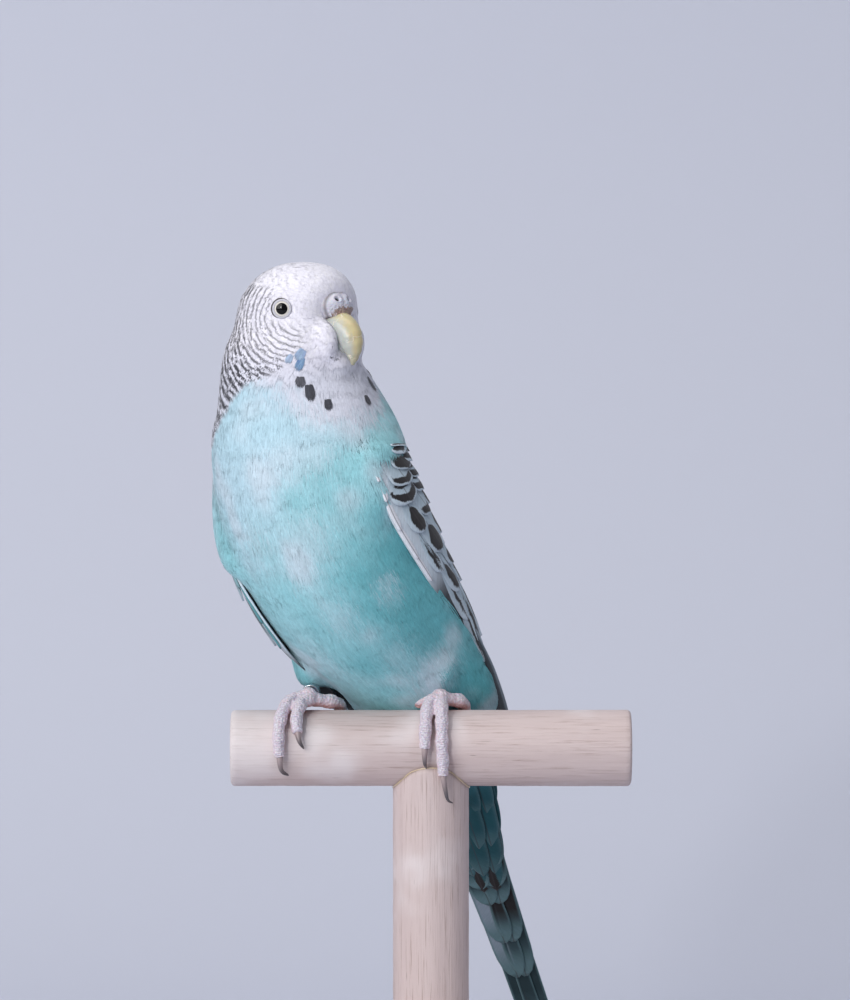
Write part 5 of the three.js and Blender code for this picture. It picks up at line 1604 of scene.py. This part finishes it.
def buildFoot(name, foot):
    shells, plates = [], []
    palmPlace, ankle = barPoint(foot["palm"]), np.array(foot["ankle"], float)
    draw = np.random.default_rng(71 + len(name))
    for k, stops in enumerate(foot["toes"]):
        path = threadThrough([barPoint(p) for p in [*stops, *foot["claws"][k]]])
        split = int(np.argmin(np.linalg.norm(path - barPoint(stops[-1]), axis=1)))
        w = np.linspace(0, 1, toe["rings"])
        line = path[(w * split).astype(int)]
        radius = mix(toe["radius"], toe["tip"], w) * (1 + 0.08 * np.sin(w * (len(stops) - 1) * 2 * np.pi + 0.6))
        radius = radius * np.where(w > 0.96, 0.86, 1)
        points = tubeAlong(line, radius, radius, toe["sides"])
        shells.append(meshPiece("toe", points, loftFaces(toe["rings"], toe["sides"]), None))
        # the plates on top
        reach = np.linalg.norm(np.diff(path, axis=0), axis=1).sum()
        count = int(split / toe["steps"] * reach / toe["plateGap"])
        spots = np.linspace(0.16, 0.97, count)
        at = path[(spots * split).astype(int)]
        ahead = unit(path[np.minimum((spots * split).astype(int) + 3, toe["steps"] - 1)] - at)
        out = at * (0, 1, 1)
        out = unit(out - ahead * (out * ahead).sum(1, keepdims=True))
        size = np.interp(spots, w, radius)
        plate = np.stack([size * 0.72, np.full(count, 0.42), size * 0.47], -1) * draw.uniform(0.92, 1.06, (count, 1))
        plates.append((at + out * (size * 0.62)[:, None], ahead, out, plate))
        # the claw goes on from the toe's tip
        rest = path[split:]
        s = np.linspace(0, 1, claw["rings"])
        line = rest[(s * (len(rest) - 1)).astype(int)]
        thick = np.maximum(claw["radius"] * np.sqrt(1 - s * 0.985), 0.1)
        points = tubeAlong(line, thick * 0.8, thick, claw["sides"])
        made = meshPiece(f"claw_horn_{name}_{k + 1}", points, loftFaces(claw["rings"], claw["sides"]), clawFinish,
                         {"along": np.concatenate([np.repeat(s, claw["sides"]), [0, 1]])})
        keep(outwardKeeping(made), "claw", f"claw_{name}_{k + 1}")
    thick = np.full(12, shank["radius"])
    points = tubeAlong(mix(palmPlace, ankle, np.linspace(0, 1.0, 12)[:, None]), thick, thick, toe["sides"])
    shells.append(meshPiece("shank", points, loftFaces(12, toe["sides"]), None))
    shells.append(meshPiece("palm", ballWays(20, 24) * palm["radius"] + palmPlace, loftFaces(20, 24), None))
    for shell in shells:
        outward(shell)
    made = joined("foot_skin_" + name, shells)
    rounded(made, toe["voxel"], 6)
    shadeSmooth(made)
    points = pointsOf(made)
    lumps = 0.05 * ripple(points, 1.1, 81) + 0.04 * ripple(points, 0.7, 82)
    setPoints(made, points + normalsOf(made) * lumps[:, None])
    # the soles of the toes face the bar; that side takes painted shade and a painted warm reflection of the wood
    inward = -unit(points * (0, 1, 1))
    writeValues(made.data, {"under": (normalsOf(made) * inward).sum(1)})
    made.data.materials.append(footFinish)
    at, ahead, out, size = (np.concatenate([p[k] for p in plates]) for k in range(4))
    scutes = meshPiece("scutes_" + name, at, [np.array([[0, 1, 2]])], None,
                       {"wayAlong": ahead, "wayOver": out, "plate": size})
    grown(scutes, *scatterTree("toeScutes", "Plate size", 10, 6, footFinish, platePlacing), 0.001)
    for key in [layer.name for layer in scutes.data.attributes if layer.name in plateValues]:
        scutes.data.attributes.remove(scutes.data.attributes[key])
    shadeSmooth(scutes)
    keep(joined("foot_skin_" + name, [made, scutes]), "foot_skin", "foot_" + name)


for name, foot in feet.items():
    buildFoot(name, foot)

ring = {"inner": 1.9, "outer": 2.28, "width": 2.6, "along": 0.4, "round": 24, "sides": 72}


def buildRing():
    made, tree, shader, place = startMaterial("ringAluminium")
    scratches = noise(tree, scaled(tree, place, 1, 1, 6), 900.0, 4.0)
    closeMaterial(tree, shader, blend(tree, scratches, rgba(206, 209, 214), rgba(178, 181, 188)), 0.24, scratches, 0.00005, 0.4, Metallic=0.95)
    foot = feet["right"]
    start, end = barPoint(foot["palm"]), np.array(foot["ankle"], float)
    way = unit(end - start)
    middle = mix(start, end, ring["along"])
    wall, half = (ring["outer"] - ring["inner"]) / 2, ring["width"] / 2
    turn = ringTurns(ring["round"])
    c, s = np.cos(turn), np.sin(turn)
    radii = (ring["outer"] + ring["inner"]) / 2 + wall * np.sign(c) * np.abs(c) ** 0.35
    heights = half * np.sign(s) * np.abs(s) ** 0.35
    rings = turned(way, radii, heights, middle, ring["sides"])
    faces = gridFaces(ring["round"], ring["sides"], True, True)
    band = meshPiece("ring_band", rings.reshape(-1, 3), [faces], made)
    keep(outwardKeeping(band), "ring", "leg_ring")


buildRing()
print("feet done")

# the stand

post = {"archRise": 4.9, "archTop": -4.3, "gap": 0.3}
base = {"radius": 57, "thickness": 12, "edge": 2.5, "groove": 47, "grooveDeep": 0.12, "sides": 144}


def woodMaterial(name, run):
    # run is 0 for grain along x and 2 for grain along z
    made, tree, shader, place = startMaterial(name)
    drawn = lambda amount: scaled(tree, place, *[amount if k == run else 1.0 for k in range(3)])
    fibres = noise(tree, drawn(0.03), 2300.0, 5.0, 0.66)
    bands = noise(tree, drawn(0.08), 300.0, 3.0)
    blotch = noise(tree, place, 34.0, 3.0)
    colour = blend(tree, bands, rgba(217, 201, 199), rgba(198, 180, 178))
    colour = blend(tree, between(tree, fibres, 0.52, 0.74), colour, rgba(172, 150, 144))
    colour = blend(tree, calc(tree, "MULTIPLY", between(tree, blotch, 0.52, 0.68), 0.6), colour, rgba(236, 231, 233))
    pores = voronoi(tree, drawn(0.05), 1500.0)
    crack = calc(tree, "MULTIPLY", between(tree, pores, 0.11, 0.03), between(tree, noise(tree, place, 120.0), 0.5, 0.62))
    colour = blend(tree, calc(tree, "MULTIPLY", crack, 0.7), colour, rgba(112, 96, 88))
    height = calc(tree, "SUBTRACT", fibres, calc(tree, "MULTIPLY", crack, 1.4))
    closeMaterial(tree, shader, colour, 0.62, height, 0.00025, 0.7, Specular_IOR_Level=0.35)
    return made


def buildStand():
    barWood, standWood = woodMaterial("barBeech", 0), woodMaterial("postBeech", 2)
    # the bar, a dowel with softened ends
    radius, end, chamfer = bar["radius"], bar["length"] / 2, bar["chamfer"]
    stations = [(-end, radius - chamfer), (-end + 0.25, radius - 0.28), (-end + chamfer, radius)]
    stations += [(x, radius) for x in np.linspace(-end + 1.6, end - 1.6, 90)]
    stations += [(end - chamfer, radius), (end - 0.25, radius - 0.28), (end, radius - chamfer)]
    sides = bar["sides"]
    turn = ringTurns(sides)
    xs, rs = np.array(stations).T
    ringPoints = np.stack([np.repeat(xs[:, None], 96, 1), rs[:, None] * np.cos(turn), rs[:, None] * np.sin(turn)], -1)
    flat = ringPoints.reshape(-1, 3)
    dents = 0.035 * ripple(flat * (0.25, 1, 1), 1.6, 91) + 0.03 * ripple(flat * (0.12, 1, 1), 4.0, 92)
    flat = flat + unit(flat * (0, 1, 1)) * dents[:, None]
    points = np.concatenate([flat, [[-end, 0, 0], [end, 0, 0]]])
    keep(outwardKeeping(meshPiece("bar_dowel", points, loftFaces(len(xs), 96), barWood)), "wood", "perch_bar")
    # the post, coped to the bar at its top
    foot = base["thickness"] + post["gap"] - barHeight
    archRadius = (radius ** 2 + post["archRise"] ** 2) / (2 * post["archRise"])

    def topOf(x, y):
        arch = post["archTop"] - archRadius + np.sqrt(np.maximum(archRadius ** 2 - x ** 2, 0))
        under = -np.sqrt(np.maximum((radius + post["gap"]) ** 2 - y ** 2, 0))
        return np.minimum(arch, under)

    rimX, rimY = radius * np.sin(turn), -radius * np.cos(turn)
    tops = topOf(rimX, rimY)
    heights = np.linspace(0, 1, 60)[:, None]
    walls = np.stack([np.repeat(rimX[None], 60, 0), np.repeat(rimY[None], 60, 0), mix(foot, tops[None], heights)], -1)
    caps = []
    for shrink in np.linspace(0.96, 0.08, 14):
        caps.append(np.stack([rimX * shrink, rimY * shrink, topOf(rimX * shrink, rimY * shrink)], -1))
    rings = np.concatenate([walls, np.array(caps)])
    flat = rings.reshape(-1, 3)
    onWall = np.repeat(np.arange(len(rings)) < 60, 96)
    dents = (0.035 * ripple(flat * (1, 1, 0.25), 1.6, 93) + 0.03 * ripple(flat * (1, 1, 0.12), 4.0, 94)) * onWall
    flat = flat + unit(flat * (1, 1, 0)) * dents[:, None]
    points = np.concatenate([flat, [[0, 0, foot], [0, 0, float(topOf(0.0, 0.0))]]])
    keep(outwardKeeping(meshPiece("post_dowel", points, loftFaces(len(rings), 96), standWood)), "wood", "stand_post")
    # a thin bead of glue in the joint
    glue, tree, shader, place = startMaterial("dryGlue")
    patchy = noise(tree, place, 500.0, 3.0)
    closeMaterial(tree, shader, blend(tree, patchy, rgba(206, 184, 150), rgba(224, 208, 184)), 0.35, patchy, 0.0002, 0.6)
    k = np.arange(97) % 96
    path = np.stack([rimX[k] * 1.005, rimY[k] * 1.005, tops[k] + 0.04], -1)
    thick = 0.17 + 0.07 * ripple(path, 3.0, 95)
    ringTurn = ringTurns(10)
    out = unit(path * (1, 1, 0))
    tubePoints = path[:, None] + out[:, None] * (thick[:, None] * np.cos(ringTurn))[..., None] + np.array([0, 0, 1.0]) * (thick[:, None] * np.sin(ringTurn))[..., None]
    tubePoints = tubePoints[:96]
    around = np.concatenate([gridFaces(96, 10, True),
                             np.stack([950 + np.arange(10), 950 + (np.arange(10) + 1) % 10, (np.arange(10) + 1) % 10, np.arange(10)], -1)])
    keep(outwardKeeping(meshPiece("glue_bead", tubePoints.reshape(-1, 3), [around], glue)), "wood")
    # the turned foot
    edge, thickness = base["edge"], base["thickness"]
    profile = [(0.01, 0.0), (base["radius"] - 0.6, 0.0), (base["radius"], 0.6)]
    curve = np.linspace(0, np.pi / 2, 12)
    profile += [(base["radius"] - edge + edge * np.cos(a), thickness - edge + edge * np.sin(a)) for a in curve]
    profile += [(r, thickness - (0.12 if abs(r - 47) < 0.5 else 0.0)) for r in np.linspace(base["radius"] - edge - 1, 0.4, 60)]
    rs, zs = np.array(profile).T
    wide = ringTurns(base["sides"])
    rings = np.stack([rs[:, None] * np.cos(wide), rs[:, None] * np.sin(wide), np.repeat(zs[:, None] - barHeight, 144, 1)], -1)
    points = np.concatenate([rings.reshape(-1, 3), [[0, 0, -barHeight], [0, 0, thickness - barHeight]]])
    keep(outwardKeeping(meshPiece("base_disc", points, loftFaces(len(rs), 144), woodMaterial("baseBeech", 0))), "wood", "stand_base")


buildStand()
print("stand done")

# stage, light and camera

studio = {
    "wall": rgba(205, 208, 221), "floorHalf": 1.1, "sweep": 0.35, "back": 0.62, "rise": 2.2,
    "key": 13.1, "fill": 0.7, "world": 0.23, "lens": 100.0, "sensor": 24.0,
}


def backdrop():
    made, tree, shader, place = startMaterial("backdropPaper")
    mottle = calc(tree, "MULTIPLY_ADD", noise(tree, place, 3.0, 2.0), 0.03, 0.985)
    closeMaterial(tree, shader, shaded(tree, studio["wall"], mottle), 0.9)
    # a floor that sweeps up into a wall behind
    half, sweep, back = studio["floorHalf"] * 1000, studio["sweep"] * 1000, studio["back"] * 1000
    profile = [(-half, 0.0), (0.0, 0.0)]
    for k in range(17):
        turn = k / 16 * np.pi / 2
        profile.append((back - sweep + sweep * np.sin(turn), sweep - sweep * np.cos(turn)))
    profile.append((back, studio["rise"] * 1000))
    xs = np.linspace(-half * 1.3, half * 1.3, 5)
    points = [(x, y, z - barHeight) for y, z in profile for x in xs]
    return meshPiece("backdrop", points, [gridFaces(len(profile), len(xs))], made)


backdrop()


def areaLight(name, place, target, size, power, colour=(1, 1, 1)):
    data = bpy.data.lights.new(name, "AREA")
    data.shape = "RECTANGLE"
    data.size, data.size_y = size
    data.energy = power
    data.color = colour
    lamp = bpy.data.objects.new(name, data)
    bpy.context.scene.collection.objects.link(lamp)
    lamp.location = place
    lamp.rotation_euler = (Vector(target) - Vector(place)).to_track_quat("-Z", "Y").to_euler()


areaLight("softKey", (-0.8, -1.05, 0.72), (-0.02, 0, 0.14), (1.0, 1.0), studio["key"], (1, 0.985, 0.96))
areaLight("softFill", (0.9, -0.9, 1.0), (0, 0, 0.13), (0.9, 0.9), studio["fill"], (0.92, 0.95, 1))
areaLight("wallLight", (0.0, -0.25, 1.7), (0, 0.6, 0.1), (1.6, 0.6), 9.1, (0.97, 0.98, 1))
areaLight("eyeSpark", (-0.42, -1.0, 0.5), (-0.035, 0, 0.2), (0.09, 0.09), 2.0)

world = bpy.data.worlds.new("studioAir")
world.use_nodes = True
world.node_tree.nodes["Background"].inputs[0].default_value = (0.86, 0.88, 0.97, 1)
world.node_tree.nodes["Background"].inputs[1].default_value = studio["world"]
bpy.context.scene.world = world
bpy.context.scene.view_settings.view_transform = "Standard"

cameraData = bpy.data.cameras.new("portraitCamera")
cameraData.sensor_fit = "VERTICAL"
cameraData.sensor_height = studio["sensor"]
cameraData.lens = studio["lens"]
cameraData.clip_start = 0.05
camera = bpy.data.objects.new("portraitCamera", cameraData)
bpy.context.scene.collection.objects.link(camera)
camera.location = (-0.00144, -1.0, 0.1555)
camera.rotation_euler = (np.pi / 2, 0, 0)
bpy.context.scene.camera = camera
